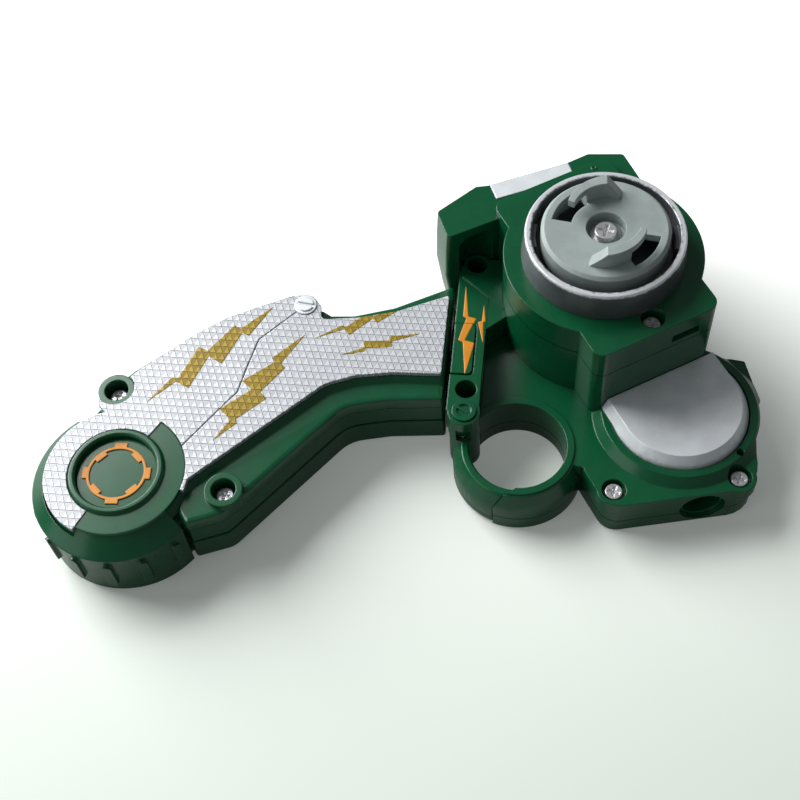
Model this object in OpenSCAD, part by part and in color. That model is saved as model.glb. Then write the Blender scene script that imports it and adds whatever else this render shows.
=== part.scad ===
// Launcher for a spinning top: a round drive head with a rip-strip slot, a lobe
// with a thumb plate, a finger ring with a sprung gate, and a bent hand grip.
// The origin is on the hub axis, at the level of the table that it lies on.

/* [Head] */
// Width of the head block, side to side
head_w = 34.4; // [32:0.1:38]
// Depth of the head block, front to back
head_d = 55; // [52:0.5:60]
// Radius of the drum that swells the head block at both sides
drum_r = 25.2; // [23:0.1:26]
// Height of the head's top deck
head_top = 38.6; // [37.6:0.1:42]
// Height of the joint line between the head's two shells
head_seam = 29.7; // [28:0.1:30.5]
// Rounding of the head block's corners
head_corner_r = 3; // [1:0.1:5]
// Thickness of the moulded shells
wall = 1.8; // [1.4:0.1:2.2]
// Thickness of the top deck
deck_t = 2; // [1.6:0.1:2.4]

/* [Strip slot] */
// Width of the slot for the rip strip
slot_w = 7.8; // [6:0.1:9]
// Height of the slot
slot_h = 2.7; // [2:0.1:3]
// Height of the slot's lower edge
slot_z = 31.3; // [31:0.1:31.8]

/* [Collar] */
// Outer radius of the silver collar at its top
collar_r = 20; // [19.6:0.1:21]
// Outer radius of the collar at its foot
collar_foot_r = 20.7; // [20.2:0.1:22]
// Inner radius of the collar
collar_bore_r = 18.3; // [17.8:0.1:18.6]
// Height of the collar over the deck
collar_h = 8; // [7:0.1:9]

/* [Hub] */
// Radius of the turning hub
hub_r = 16; // [15:0.1:16.8]
// How far the hub's face stands over the collar
hub_rise = 1.8; // [1:0.1:3]
// Depth of the hub's rim
hub_t = 6; // [4:0.1:7]
// Thickness of the hub's face
hub_face_t = 2.2; // [1.8:0.1:2.8]
// Height of the two prongs over the hub's face
prong_h = 5; // [4:0.1:6]
// Inner radius of the prongs
prong_in_r = 9.8; // [9.2:0.1:10.4]
// Outer radius of the prongs
prong_out_r = 12.6; // [12:0.1:13]
// Radius of the screw well in the hub's face
hub_well_r = 4.9; // [4.4:0.1:5.4]
// Radius of the hub shaft
shaft_r = 2; // [1.6:0.1:2.4]

/* [Drive] */
// Teeth on the strip pinion
pinion_teeth = 12; // [10:1:14]
// Radius over the pinion's teeth
pinion_r = 4.9; // [4.6:0.1:5.2]
// Height of the pinion
pinion_h = 4; // [3.6:0.1:4.4]
// Teeth on the ratchet wheel
ratchet_teeth = 8; // [6:1:8]
// Radius over the ratchet's teeth
ratchet_r = 6; // [5.8:0.1:6.2]
// Height of the ratchet wheel
ratchet_h = 3; // [2.4:0.1:3.2]
// Distance from the shaft to each pawl's pivot
pawl_pivot_r = 9; // [8.9:0.1:9.6]
// Radius of the pawl carrier
carrier_r = 11.4; // [11:0.1:12.5]

/* [Base] */
// Height of the base shelf
base_top = 12.7; // [12:0.1:14]
// Height of the joint line round the base
base_seam = 4.6; // [4:0.1:5.4]
// Distance from the hub axis forward to the lobe's centre
lobe_out = 37; // [35:0.5:39]
// Distance from the hub axis sideways to the lobe's centre
lobe_side = 2.4; // [0:0.1:4]
// Radius of the lobe's wall
lobe_r = 20.2; // [19.8:0.1:20.6]
// Turn of the base block's front wall against the head, in degrees
skew = 18.7; // [18:0.1:19]
// Width that the base block's outline is drawn in
block_w = 42; // [40:0.5:44]
// Depth that the base block's outline is drawn in
block_d = 34; // [33:0.5:36]
// Radius of the round peg socket in the front wall
socket_r = 4.7; // [4.2:0.1:4.8]
// Depth of the peg socket
socket_l = 9; // [7:0.5:10]

/* [Thumb plate] */
// Radius of the raised ring round the plate
ring_r = 19.6; // [19.2:0.1:20]
// Inner radius of the raised ring
ring_bore_r = 17.7; // [17.5:0.1:18.2]
// Height of the raised ring over the shelf
ring_rise = 2.4; // [2:0.1:3]
// Radius of the plate at its foot
plate_foot_r = 17.3; // [16.8:0.1:17.4]
// Radius of the plate's flat top
plate_r = 15.4; // [14.8:0.1:15.8]
// Height of the plate's top over the shelf
plate_rise = 5.3; // [4.6:0.1:6]

/* [Finger ring] */
// Distance of the ring's centre to the left of the hub axis
finger_left = 38; // [37.5:0.1:38.5]
// Distance of the ring's centre in front of the hub axis
finger_front = 26.6; // [26:0.1:27]
// Radius of the finger hole
finger_r = 12.3; // [11.8:0.1:12.6]
// Outer radius of the finger ring
finger_out_r = 16.6; // [16.2:0.1:17]
// Height of the finger ring
finger_h = 12.4; // [11.6:0.1:12.6]
// Distance from the gate's pivot to the end of the gate
gate_reach = 21.4; // [21:0.1:21.8]
// Radius of the gate's pivot pin
pin_r = 1.5; // [1.2:0.1:1.7]

/* [Connector bar] */
// Distance of the bar's rear screw hole to the left of the hub axis
bar_left = 23.7; // [23.4:0.1:24.2]
// Distance of that hole behind the hub axis
bar_back = 23.4; // [23:0.1:24]
// Direction of the bar, in degrees
bar_turn = 238.5; // [238:0.1:239]
// Height of the bar
bar_top = 21; // [20.4:0.1:22]
// Distance between the bar's two screw holes
bar_pitch = 39.3; // [39:0.1:39.6]
// Distance from the rear hole to the gate's pivot
pivot_along = 45.9; // [45.6:0.1:46.4]
// Half width of the bar on the head's side
bar_in = 3.7; // [3.4:0.1:4]
// Half width of the bar on the grip's side
bar_out = 4.5; // [4.4:0.1:4.8]
// Radius of the bar's screw wells
bar_well_r = 2.7; // [2.4:0.1:2.9]

/* [Latch button] */
// Length of the button
button_l = 15.5; // [14:0.1:16]
// Width of the button
button_w = 5.4; // [5:0.1:5.6]
// Height of the button's cap
button_h = 6.8; // [6:0.1:7]

/* [Grip] */
// Length of the grip, from its end face to the tail's centre
grip_l = 91.6; // [88:0.1:96]
// Width that the grip's outline is drawn in
grip_w = 50; // [48:0.1:52]
// Height of the joint line over the bottom shell
grip_seam_1 = 8.3; // [7.6:0.1:9]
// Height of the joint line over the middle band
grip_seam_2 = 14.7; // [14:0.1:15.2]
// Height of the ledge round the covers
ledge_z = 18.5; // [18:0.1:19]
// Height of the seat of the covers
seat_z = 19.9; // [19.5:0.1:20.2]
// Thickness of the silver covers
cover_t = 1.3; // [1:0.1:1.6]
// Outer radius of the collars round the screw wells
collared_r = 4.75; // [4.4:0.05:5]
// Radius of the screw wells in the grip
well_r = 3.1; // [2.8:0.1:3.3]

/* [Tail] */
// Outer radius of the tail drum
tail_r = 21.9; // [21.4:0.1:22.4]
// Height of the drum's straight wall
tail_wall_z = 16; // [15.4:0.1:16.6]
// Thickness of the drum
tail_t = 1.7; // [1.4:0.1:2]
// Outer radius of the crescent
crescent_r = 17.2; // [16.8:0.1:17.6]
// Radius of the rear cover round the tail
cover_tail_r = 18.2; // [17.8:0.1:18.6]
// Outer radius of the badge ring
badge_r = 12.2; // [11.8:0.1:12.6]
// Inner radius of the badge ring
badge_bore_r = 10.2; // [9.8:0.1:10.6]
// Number of grip ribs on the drum
rib_count = 8; // [6:1:8]
// Angle between the ribs
rib_step = 23; // [21:0.5:24]

/* [Rear box] */
// Height of the box behind the head
box_top = 36.3; // [35.6:0.1:37]
// Width of the box
box_w = 54.2; // [53:0.1:56]
// Depth that the box's outline is drawn in
box_d = 24; // [23:0.1:25]
// Length of the silver strip on the box
strip_l = 22; // [21:0.1:23]
// Width of the silver strip
strip_w = 5; // [4.6:0.1:5.4]

/* [Hidden] */
$fn = 96;

// Clearances
run_gap = 0.05;
seat_gap = 0.3;
line_gap = 0.15;
overrun = 1;

// Screws
screw_head_r = 2.1;
screw_head_t = 1.6;
screw_shank_r = 1.1;
screw_slot_w = 0.7;
screw_slot_d = 0.7;
slot_span_share = 0.7;
boss_wall = 1.6;

// Base
base_floor_t = 1.8;
shelf_t = 1.8;
ring_step_w = 2.2;
socket_wall = 1;
socket_z = 6.2;
socket_side = 1.4;
socket_out = 23.7;
socket_recess = 1.2;
base_well_r = 3;
base_well_d = 2.4;
plate_t = 1.6;
plate_flare = 1;
peep_r = 1;
peep_d = 3;

// Corners of the base block from the lobe's centre: across, back, rounding
block_shares = [
    [-0.695, 0.500, 0.02], [-0.695, -0.447, 0.12], [0.157, -0.803, 0.19],
    [0.298, -0.471, 0.02], [0.298, 0.500, 0.02]
];
// Corners of the ear at the lobe's right side, in the same shares
ear_shares = [
    [0.180, -0.206, 0.02], [0.431, -0.238, 0.02], [0.481, -0.191, 0.03],
    [0.562, 0.171, 0.02], [0.486, 0.247, 0.02], [0.180, 0.265, 0.02]
];
base_screw_shares = [[-0.605, -0.338], [0.090, -0.662]];
peep_share = [0.160, -0.518];

// Head
rib_t = 1.6;
deck_well_r = 3;
deck_well_d = 4.2;
cup_wall = 1.2;
head_screw_shares = [[0.03, -0.835]];
mark_r = 0.8;
mark_h = 0.3;
mark_shares = [0.7, 0.935];

// Drive train, from the shaft's foot up
carrier_t = 2;
bush_wall = 2;
bush_h = 3;
bridge_t = 2.5;
pinion_z = slot_z - 0.7;
tooth_depth = 1.1;
tooth_share = 0.5;
tooth_tip_share = 0.24;
ratchet_depth = 1.2;
drive_collar_t = 0.6;
drive_collar_r = 3;
ratchet_z = pinion_z - drive_collar_t - ratchet_h;
spring_room = 1.7;
pawl_t = ratchet_h - 2 * seat_gap;
carrier_z = ratchet_z + seat_gap - spring_room - carrier_t;
pawl_pin_r = 1;
pawl_head_r = 2;
pawl_tip_r = 5.25;
ratchet_lead = 5;
pawl_tip_turn = 40;
pawl_back = 1.5;
pawl_nose = 0.7;
pawl_coil_r = 1.4;
pawl_wire_r = 0.15;
pawl_curl_count = 1.5;
pawl_pitch = 0.75;
bridge_z = carrier_z - seat_gap - bush_h;
deck_z = head_top - deck_t;
deck_floor_z = head_top - deck_well_d;
hub_z = head_top + collar_h + hub_rise;
hub_under = hub_z - hub_t;
pinion_top = pinion_z + pinion_h;

// Hub
hub_edge = 0.8;
hub_wall = 1.8;
hub_well_d = 3;
window_in_r = 8.6;
window_out_r = 13.5;
window_from = 91;
window_to = 140;
prong_from = 60;
prong_slope_from = 40;
hook_to = 126;
hook_t = 2;
hook_in = 1.1;
hook_lap = 4;
hook_out_r = 10.4;
prong_steps = 12;
prong_slope_l = 4;
washer_r = 3.9;
washer_t = 0.5;
hub_screw_r = 2.7;

// Collar
collar_floor_t = 1.6;
collar_floor_r = 4.1;
bush_flange_r = 5.4;
collar_edge = 0.5;
wedge_t = 1.1;
wedge_h = 5;
wedge_arc = 24;
wedge_turn = 151;

// Strip channel
channel_t = 0.8;
channel_in = 5.6;

// Finger ring and gate
finger_shoulder = 7.4;
finger_bead = 1.9;
bead_rise = 0.4;
finger_foot = 0.8;
finger_lip = 0.5;
slope_from = 200;
slope_to = 311;
knuckle_r = 3.9;
gate_seam = 2.8;
gate_split = 20;
far_share = 3;
ring_low = -122;
ring_high = 128;
gate_from = 130;
gate_to = 236.5;
gate_foot = 0.3;
pin_head_r = 3.1;
pin_head_t = 0.7;
pin_slot_r = 1.8;
pin_slot_d = 0.4;
pin_foot_r = 2.4;
pin_foot_t = 1;
spring_wire_r = 0.3;
spring_r = 2.35;
spring_curl_count = 3;
spring_pitch = 1.05;
spring_pocket_r = 3;
spring_pocket_d = 3.8;
rivet_ring_t = 0.5;

// Connector bar
bar_end_r = 4.1;
web_front = 20.5;
web_back = -2;
web_front_far = 15.3;
web_drop = 0.1;
field_rise = 0.5;
field_from = 4.2;
field_mid = 12.6;
field_reach = 6.3;
web_reach = 12;
bar_well_floor = 6;
button_from = 19.3;
button_gap = 0.3;
button_round = 1.2;
button_corner = 0.2;
button_proud = 0.3;
pocket_floor = 2;
stem_l = 3;
stem_w = 2.2;
stem_y = -1.5;
stem_z = 6.2;
tooth_z = 8.9;
latch_tooth_h = 1;
latch_tooth_w = 0.8;
latch_wire_r = 0.2;
latch_spring_r = 1.1;
latch_curl_count = 4;
gate_recess_w = 3.6;
gate_recess_h = 5;
gate_recess_d = 1.6;
cove_r = 4.9;
cove_z = 31;
cove_cone_h = 2.4;

// Tongue
tongue_l = 10;
tongue_t = 3.5;
tongue_z = 8.6;
tongue_in = 6.4;
tongue_root = 6;
tongue_from = 22;
tongue_gap = 0.3;

// Grip
grip_gap = 1.1;
grip_near_u = 41.3;
grip_far_u = 4.4;
cover_end_gap = 2.2;
cover_near_u = 35.2;
cover_far_u = 10.4;
tail_side = 1.4;
grip_floor_t = 1.6;
ledge_round = 1.5;
ledge_rise_share = 0.3;
ledge_in_share = 0.35;
seat_flare = 2.4;
cover_edge = 0.4;
grip_top_t = 1.8;
arc_steps = 5;
well_floor_t = 0.8;
collared_z = 20.2;
well_floor_z = grip_seam_2 + well_floor_t;
grip_bottom_round = 0.8;
cover_line = 0.35;
rivet_r = 3;
rivet_top_r = 2.2;
rivet_h = 0.7;
rivet_slot_w = 0.8;
rivet_slot_d = 0.4;
rivet_shares = [-0.323, 0.522];
band_step = 0.25;

// Corners of the grip's outline: along, across, rounding as a share of the width
grip_shares = [
    [-0.887, -0.376, 0.02], [-0.784, -0.408, 0.12], [-0.360, -0.118, 0.20],
    [-0.246, -0.188, 0.10]
];
grip_far_shares = [
    [-0.089, 0.336, 0.10], [-0.203, 0.388, 0.10], [-0.293, 0.474, 0.04],
    [-0.315, 0.638, 0.05], [-0.366, 0.662, 0.10], [-0.442, 0.684, 0.20],
    [-0.540, 0.694, 0.20], [-0.645, 0.678, 0.20], [-0.844, 0.604, 0.10],
    [-0.974, 0.524, 0.02]
];
// Corners of the covers' outline, in the same shares
cover_shares = [
    [-0.865, -0.188, 0.02], [-0.382, 0.022, 0.16], [-0.295, -0.004, 0.24],
    [-0.201, -0.074, 0.10]
];
cover_far_shares = [
    [-0.100, 0.260, 0.10], [-0.205, 0.318, 0.10], [-0.303, 0.400, 0.03],
    [-0.283, 0.480, 0.02], [-0.290, 0.570, 0.06], [-0.340, 0.612, 0.06], [-0.442, 0.632, 0.20],
    [-0.540, 0.644, 0.20], [-0.645, 0.626, 0.20], [-0.833, 0.548, 0.10],
    [-0.977, 0.458, 0.02]
];
// The line that parts the two covers, from the far notch to the crescent
parting_shares = [
    [-0.240, 0.520], [-0.358, 0.504], [-0.489, 0.434], [-0.556, 0.300], [-0.611, 0.182],
    [-0.647, 0.154], [-0.820, 0.008]
];
parting_close_shares = [[-0.960, -0.600], [0.300, -0.700], [0.300, 0.700]];
parting_normal_shares = [0.6, -0.8];
// The two collared screw wells
well_shares = [[-0.759, -0.300], [-0.912, 0.498]];

// Tail
drum_from = 100;
drum_to = 295;
crescent_from = 215;
crescent_to = 389;
bare_to = 316;
crescent_lap = 1;
rim_drop = 0.7;
cap_z = 20.9;
bevel_top_z = 20.3;
badge_z = 22;
badge_floor_z = 20;
badge_t = 0.8;
rib_w = 2.4;
rib_out = 0.9;
rib_z0 = 3.4;
rib_z1 = 13.4;
rib_from = 125;
gear_r = 7.2;
gear_line = 0.7;
gear_t = 0.3;
tab_w = 3.2;
tab_l = 1.4;
tab_count = 8;
tab_turn = 17;
drum_overhang = 0.4;

// Rear box
box_right = 22;
// Height and outward bulge of the box's left wall
bulge_shares = [[0, -0.028], [0.22, -0.007], [0.55, 0.017], [0.83, 0.009], [1, 0]];
strip_t = 0.5;
box_wall = 1.8;
strip_from = -14.6;
strip_in = 2.5;
strip_turn = -7.6;
// Corners of the box: along its width from the right, back from the hub axis, rounding
box_shares = [
    [0.989, 1.020, 0.04], [0.112, 0.940, 0.02], [0.112, 0.540, 0.02], [0.009, 0.540, 0.02],
    [-0.007, 1.165, 0.05], [0.144, 1.350, 0.06], [0.266, 1.345, 0.04], [0.671, 1.467, 0.04],
    [0.725, 1.515, 0.04], [0.965, 1.395, 0.06]
];
box_taper_share = -0.03;
box_left_share = 0.9;
// Where the head's rear wall lies in the corners' measure
box_line_share = 1.1458;

green = [0.16, 0.45, 0.31];
deep_green = [0.13, 0.38, 0.26];
silver = [0.78, 0.79, 0.84];
satin = [0.55, 0.56, 0.58];
hub_grey = [0.60, 0.64, 0.62];
steel = [0.75, 0.75, 0.76];
orange = [0.88, 0.52, 0.12];
natural = [0.85, 0.84, 0.80];

// Plane geometry

function unit(a) = a / norm(a);
function left_of(a) = [-a[1], a[0]];
function turn_of(a) = atan2(a[1], a[0]);
function wrapped(a) = a > 180 ? a - 360 : (a < -180 ? a + 360 : a);
function bends_left(p, c, n) = (c[0] - p[0]) * (n[1] - c[1]) - (c[1] - p[1]) * (n[0] - c[0]) > 0;
function prev_of(pts, i) = pts[(i + len(pts) - 1) % len(pts)];
function next_of(pts, i) = pts[(i + 1) % len(pts)];
function flat(p) = [p[0], p[1]];

// Moves each corner inwards by d and keeps its rounding concentric
function inset(pts, d) = [for (i = [0:len(pts) - 1])
    let (p = flat(prev_of(pts, i)), c = flat(pts[i]), n = flat(next_of(pts, i)),
         n1 = left_of(unit(c - p)), n2 = left_of(unit(n - c)),
         q = c + d * (n1 + n2) / (1 + n1 * n2),
         r = bends_left(p, c, n) ? max(pts[i][2] - d, run_gap) : max(pts[i][2] + d, run_gap))
    [q[0], q[1], r]];

// Turns corners with a rounding into the points of the outline
function rounded(pts) = [for (i = [0:len(pts) - 1])
    let (p = flat(prev_of(pts, i)), c = flat(pts[i]), n = flat(next_of(pts, i)),
         u = unit(p - c), v = unit(n - c), half = acos(u * v) / 2,
         r = pts[i][2], t = r / tan(half), m = c + unit(u + v) * r / sin(half),
         a0 = turn_of(c + u * t - m), da = wrapped(turn_of(c + v * t - m) - a0))
    for (k = [0:arc_steps]) m + r * [cos(a0 + da * k / arc_steps), sin(a0 + da * k / arc_steps)]];

// Whether the outline's corner b, between a and c, is an ear: convex, with no other corner in it
function is_ear(pts, left, a, b, c) =
    cross(pts[b] - pts[a], pts[c] - pts[b]) > 0 && len([for (i = left)
        if (i != a && i != b && i != c
            && cross(pts[b] - pts[a], pts[i] - pts[a]) >= 0
            && cross(pts[c] - pts[b], pts[i] - pts[b]) >= 0
            && cross(pts[a] - pts[c], pts[i] - pts[c]) >= 0) i]) == 0;

function first_ear(pts, left, k = 0) = let (n = len(left))
    k >= n ? 0
    : is_ear(pts, left, left[(k + n - 1) % n], left[k], left[(k + 1) % n]) ? k
    : first_ear(pts, left, k + 1);

// The triangles that fill an outline, which may be hollow in places
function fill_of(pts, left) = let (n = len(left))
    n == 3 ? [left]
    : let (k = first_ear(pts, left)) concat(
        [[left[(k + n - 1) % n], left[k], left[(k + 1) % n]]],
        fill_of(pts, [for (i = [0:n - 1]) if (i != k) left[i]]));

// A closed solid through outlines of equal length, from the lowest up
module loft(zs, outlines) {
    n = len(outlines[0]);
    top = len(zs) - 1;
    all_points = [for (i = [0:n - 1]) i];
    polyhedron(
        points = [for (k = [0:top]) for (p = outlines[k]) [p[0], p[1], zs[k]]],
        faces = concat(
            fill_of(outlines[0], all_points),
            [for (k = [0:top - 1]) for (i = [0:n - 1])
                [k * n + i, (k + 1) * n + i, (k + 1) * n + (i + 1) % n]],
            [for (k = [0:top - 1]) for (i = [0:n - 1])
                [k * n + i, (k + 1) * n + (i + 1) % n, k * n + (i + 1) % n]],
            [for (t = fill_of(outlines[top], all_points)) [top * n + t[2], top * n + t[1], top * n + t[0]]]));
}

module slab(z0, z1) {
    translate([0, 0, z0]) linear_extrude(z1 - z0) children();
}

module disc(r, z0, z1) {
    translate([0, 0, z0]) cylinder(r = r, h = z1 - z0);
}

module tube(r1, r0, z0, z1) {
    difference() {
        disc(r1, z0, z1);
        disc(r0, z0 - overrun, z1 + overrun);
    }
}

// A ring's sector, from one angle to another
module sector(r0, r1, from, to, z0, z1) {
    translate([0, 0, z0]) rotate([0, 0, from])
        rotate_extrude(angle = to - from) translate([r0, 0]) square([r1 - r0, z1 - z0]);
}

module screw(head_r, head_t, shank_l) {
    difference() {
        union() {
            cylinder(r = head_r, h = head_t, $fn = 48);
            translate([0, 0, -shank_l]) cylinder(r = screw_shank_r, h = shank_l, $fn = 32);
        }
        for (a = [45, 135])
            rotate([0, 0, a]) translate([-head_r * slot_span_share, -screw_slot_w / 2, head_t - screw_slot_d])
                cube([2 * head_r * slot_span_share, screw_slot_w, screw_slot_d + overrun]);
    }
}

// A round wire wound into a coil, one unbroken tube
module coil(r, wire_r, curls, pitch) {
    sides = 6;
    steps = 8;
    last = curls * steps;
    points = [for (i = [0:last]) for (k = [0:sides - 1])
        let (a = i * 360 / steps, b = k * 360 / sides, q = r + wire_r * cos(b))
        [q * cos(a), q * sin(a), wire_r + pitch * i / steps + wire_r * sin(b)]];
    polyhedron(points = points, faces = concat(
        [[for (k = [0:sides - 1]) k]],
        [for (i = [0:last - 1]) for (k = [0:sides - 1])
            [i * sides + k, (i + 1) * sides + (k + 1) % sides, i * sides + (k + 1) % sides]],
        [for (i = [0:last - 1]) for (k = [0:sides - 1])
            [i * sides + k, (i + 1) * sides + k, (i + 1) * sides + (k + 1) % sides]],
        [[for (k = [0:sides - 1]) last * sides + sides - 1 - k]]));
}

// Frames of the sub-assemblies

module at_lobe() {
    translate([lobe_side, -lobe_out, 0]) children();
}

// Across the base block's front is +X here, and out of its front is -Y
module at_block() {
    at_lobe() rotate([0, 0, -skew]) children();
}

module at_finger() {
    translate([-finger_left, -finger_front, 0]) children();
}

// Along the bar is +X here, and the head's side is +Y
module at_bar() {
    translate([-bar_left, bar_back, 0]) rotate([0, 0, bar_turn]) children();
}

module at_pivot() {
    at_bar() translate([pivot_along, 0, 0]) children();
}

function bar_point(u, y) = [-bar_left + u * cos(bar_turn) - y * sin(bar_turn),
    bar_back + u * sin(bar_turn) + y * cos(bar_turn)];
end_near = bar_point(grip_near_u, -bar_out - grip_gap);
end_far = bar_point(grip_far_u, -bar_out - grip_gap);
cover_near = bar_point(cover_near_u, -bar_out - cover_end_gap);
cover_far = bar_point(cover_far_u, -bar_out - cover_end_gap);
grip_origin = (end_near + end_far) / 2;
function grip_point(s) = [grip_origin[0] + s[0] * grip_l, grip_origin[1] + s[1] * grip_w];
function grip_corner(s) = [grip_point(s)[0], grip_point(s)[1], s[2] * grip_w];
tail = grip_origin + [-grip_l, tail_side];
grip_corners = concat(
    [for (s = grip_shares) grip_corner(s)],
    [[end_near[0], end_near[1], wall / 2], [end_far[0], end_far[1], wall / 2]],
    [for (s = grip_far_shares) grip_corner(s)]);
cover_corners = concat(
    [for (s = cover_shares) grip_corner(s)],
    [[cover_near[0], cover_near[1], wall / 4], [cover_far[0], cover_far[1], wall / 4]],
    [for (s = cover_far_shares) grip_corner(s)]);
tail_core_r = tail_r - tail_t;

module at_tail() {
    translate([tail[0], tail[1], 0]) children();
}

module at_wells() {
    for (s = well_shares)
        translate([grip_point(s)[0], grip_point(s)[1], 0]) children();
}

module at_base_screws() {
    for (s = base_screw_shares)
        at_lobe() translate([block_w * s[0], block_d * s[1], 0]) children();
}

module at_head_screws() {
    for (s = head_screw_shares)
        translate([head_w / 2 * s[0], head_d / 2 * s[1], 0]) children();
}

// Outlines

module head_plan(d = 0) {
    corner = head_corner_r;
    polygon(rounded(inset([
        [-head_w / 2, -head_d / 2, corner], [head_w / 2, -head_d / 2, corner],
        [head_w / 2, head_d / 2, corner], [-head_w / 2, head_d / 2, corner]], d)));
    circle(r = drum_r - d);
}

function block_corner(s) = [block_w * s[0], block_d * s[1], block_w * s[2]];

module block_plan(d = 0) {
    at_lobe() {
        polygon(rounded(inset([for (s = block_shares) block_corner(s)], d)));
        polygon(rounded(inset([for (s = ear_shares) block_corner(s)], d)));
        circle(r = lobe_r - d);
    }
}

// The floor between the bar, the finger ring and the head
module apron_plan(d = 0) {
    q = [bar_point(web_back, bar_in - wall), bar_point(pivot_along - wall, bar_in - wall)];
    polygon(rounded(inset([
        [q[0][0], q[0][1], wall / 2], [q[1][0], q[1][1], wall / 2],
        [-finger_left, -finger_front, wall], [0, -lobe_out / 2, wall / 2],
        [0, bar_back / 2, wall / 2]], d)));
}

module base_plan(d = 0) {
    difference() {
        union() {
            difference() {
                union() {
                    head_plan(d);
                    block_plan(d);
                    apron_plan(d);
                    at_finger() circle(r = finger_out_r - d);
                }
                at_finger() circle(r = finger_r + d);
            }
        }
        gate_zone(d);
        at_pivot() circle(r = knuckle_r + seat_gap + d);
        bar_zone(d);
    }
}

// What the bar, its knuckle and the grip keep clear
module bar_zone(d = 0) {
    at_bar() translate([-bar_left, -bar_left * 2]) square([bar_left * 4, bar_left * 2 + bar_in + d]);
}

module gate_zone(d = 0) {
    difference() {
        at_pivot() circle(r = gate_reach + seat_gap + d);
        at_finger() polygon([[0, 0], for (k = [0:3]) ring_far(gate_split + (ring_low - gate_split) * k / 3)]);
        at_finger() polygon([[0, 0], for (k = [0:3]) ring_far(gate_split + (ring_high - gate_split) * k / 3)]);
    }
}
function ring_far(a) = finger_out_r * far_share * [cos(a), sin(a)];

// The finger ring's section, with its sloped shoulder
module ring_section(z0, z1, grow = 0) {
    intersection() {
        polygon([
            [finger_r - grow, gate_foot - grow], [finger_out_r - finger_foot, gate_foot - grow],
            [finger_out_r + grow, gate_foot + finger_foot], [finger_out_r + grow, finger_shoulder],
            [finger_r + finger_bead + finger_lip + grow, finger_h - finger_lip],
            [finger_r + finger_bead, finger_h + grow],
            [finger_r + finger_lip, finger_h + grow], [finger_r - grow, finger_h - finger_lip]]);
        translate([0, z0]) square([finger_out_r * 2, z1 - z0]);
    }
}

// Where the strip runs, straight through from front to back
module strip_way(d = 0) {
    translate([slot_x - d, -box_d * 2, slot_z - d])
        cube([slot_w + 2 * d, box_d * 4, slot_h + 2 * d]);
}
slot_x = pinion_r - tooth_depth + line_gap;

// Base and lobe

module base_bottom_shell() {
    color(deep_green) difference() {
        slab(0, base_seam) base_plan();
        slab(base_floor_t, base_seam + overrun) base_plan(wall);
        socket_space(socket_r + socket_wall);
        bar_screw_space();
    }
    color(deep_green) at_base_screws() difference() {
        disc(screw_shank_r + boss_wall, base_floor_t / 2, base_seam);
        disc(screw_shank_r + run_gap, base_floor_t, base_seam + overrun);
    }
}

module base_top_shell() {
    floor_z = base_top - base_well_d;
    color(green) difference() {
        union() {
            difference() {
                union() {
                    slab(base_seam, base_top) base_plan();
                    slab(base_top - wall, base_top + bead_rise) intersection() {
                        base_plan();
                        at_finger() circle(r = finger_r + finger_bead);
                    }
                    intersection() {
                        at_lobe() translate([0, 0, base_top - run_gap])
                            cylinder(r1 = ring_r + ring_step_w, r2 = ring_r, h = ring_rise + run_gap);
                        slab(base_top - overrun, base_top + ring_rise + overrun) base_plan();
                    }
                }
                slab(base_seam - overrun, base_top - shelf_t) base_plan(wall);
                at_finger() rotate([0, 0, slope_from]) rotate_extrude(angle = slope_to - slope_from)
                    polygon([[finger_r + finger_bead + finger_lip, base_top + run_gap],
                        [finger_out_r + run_gap, finger_shoulder + overrun],
                        [finger_out_r + overrun, finger_shoulder + overrun],
                        [finger_out_r + overrun, base_top + overrun],
                        [finger_r + finger_bead + finger_lip, base_top + overrun]]);
            }
            at_base_screws() disc(base_well_r + cup_wall, floor_z - cup_wall, base_top);
            at_base_screws() disc(screw_shank_r + boss_wall, base_seam, floor_z);
        }
        at_lobe() disc(ring_bore_r, base_top - plate_t, base_top + ring_rise + overrun);
        at_lobe() plate_wedge(line_gap);
        slab(base_top, base_top + ring_rise + overrun) head_plan(0);
        socket_space(socket_r + socket_wall);
        at_base_screws() {
            disc(base_well_r, floor_z, base_top + ring_rise + overrun);
            disc(screw_shank_r + run_gap, base_seam - overrun, base_top);
        }
        at_lobe() translate([block_w * peep_share[0], block_d * peep_share[1], 0])
            disc(peep_r, base_top + ring_rise - peep_d, base_top + ring_rise + overrun);
    }
}

module socket_space(r) {
    at_block() translate([socket_side, -socket_out - overrun, socket_z]) rotate([-90, 0, 0])
        cylinder(r = r, h = socket_l + socket_recess + overrun);
}

module peg_socket() {
    color(green) at_block() translate([socket_side, -socket_out + socket_recess, socket_z])
        rotate([-90, 0, 0]) difference() {
            cylinder(r = socket_r + socket_wall, h = socket_l);
            translate([0, 0, -overrun]) cylinder(r = socket_r, h = socket_l + overrun - socket_wall);
        }
}

module base_screws() {
    color(steel) at_base_screws() translate([0, 0, base_top - base_well_d])
        screw(screw_head_r, screw_head_t, base_top - base_well_d - base_floor_t - run_gap);
}

// The straight part of the plate, from the lobe's centre back to the head
module plate_wedge(grow = 0) {
    foot = plate_foot_r + plate_flare + grow;
    translate([0, lobe_out - head_d / 2 - line_gap + grow, 0]) rotate([90, 0, 0])
        linear_extrude(lobe_out - head_d / 2 - line_gap + grow) polygon([
            [-foot, base_top], [foot - plate_flare, base_top],
            [plate_r + grow, base_top + plate_rise], [-plate_r - grow, base_top + plate_rise]]);
}

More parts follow.
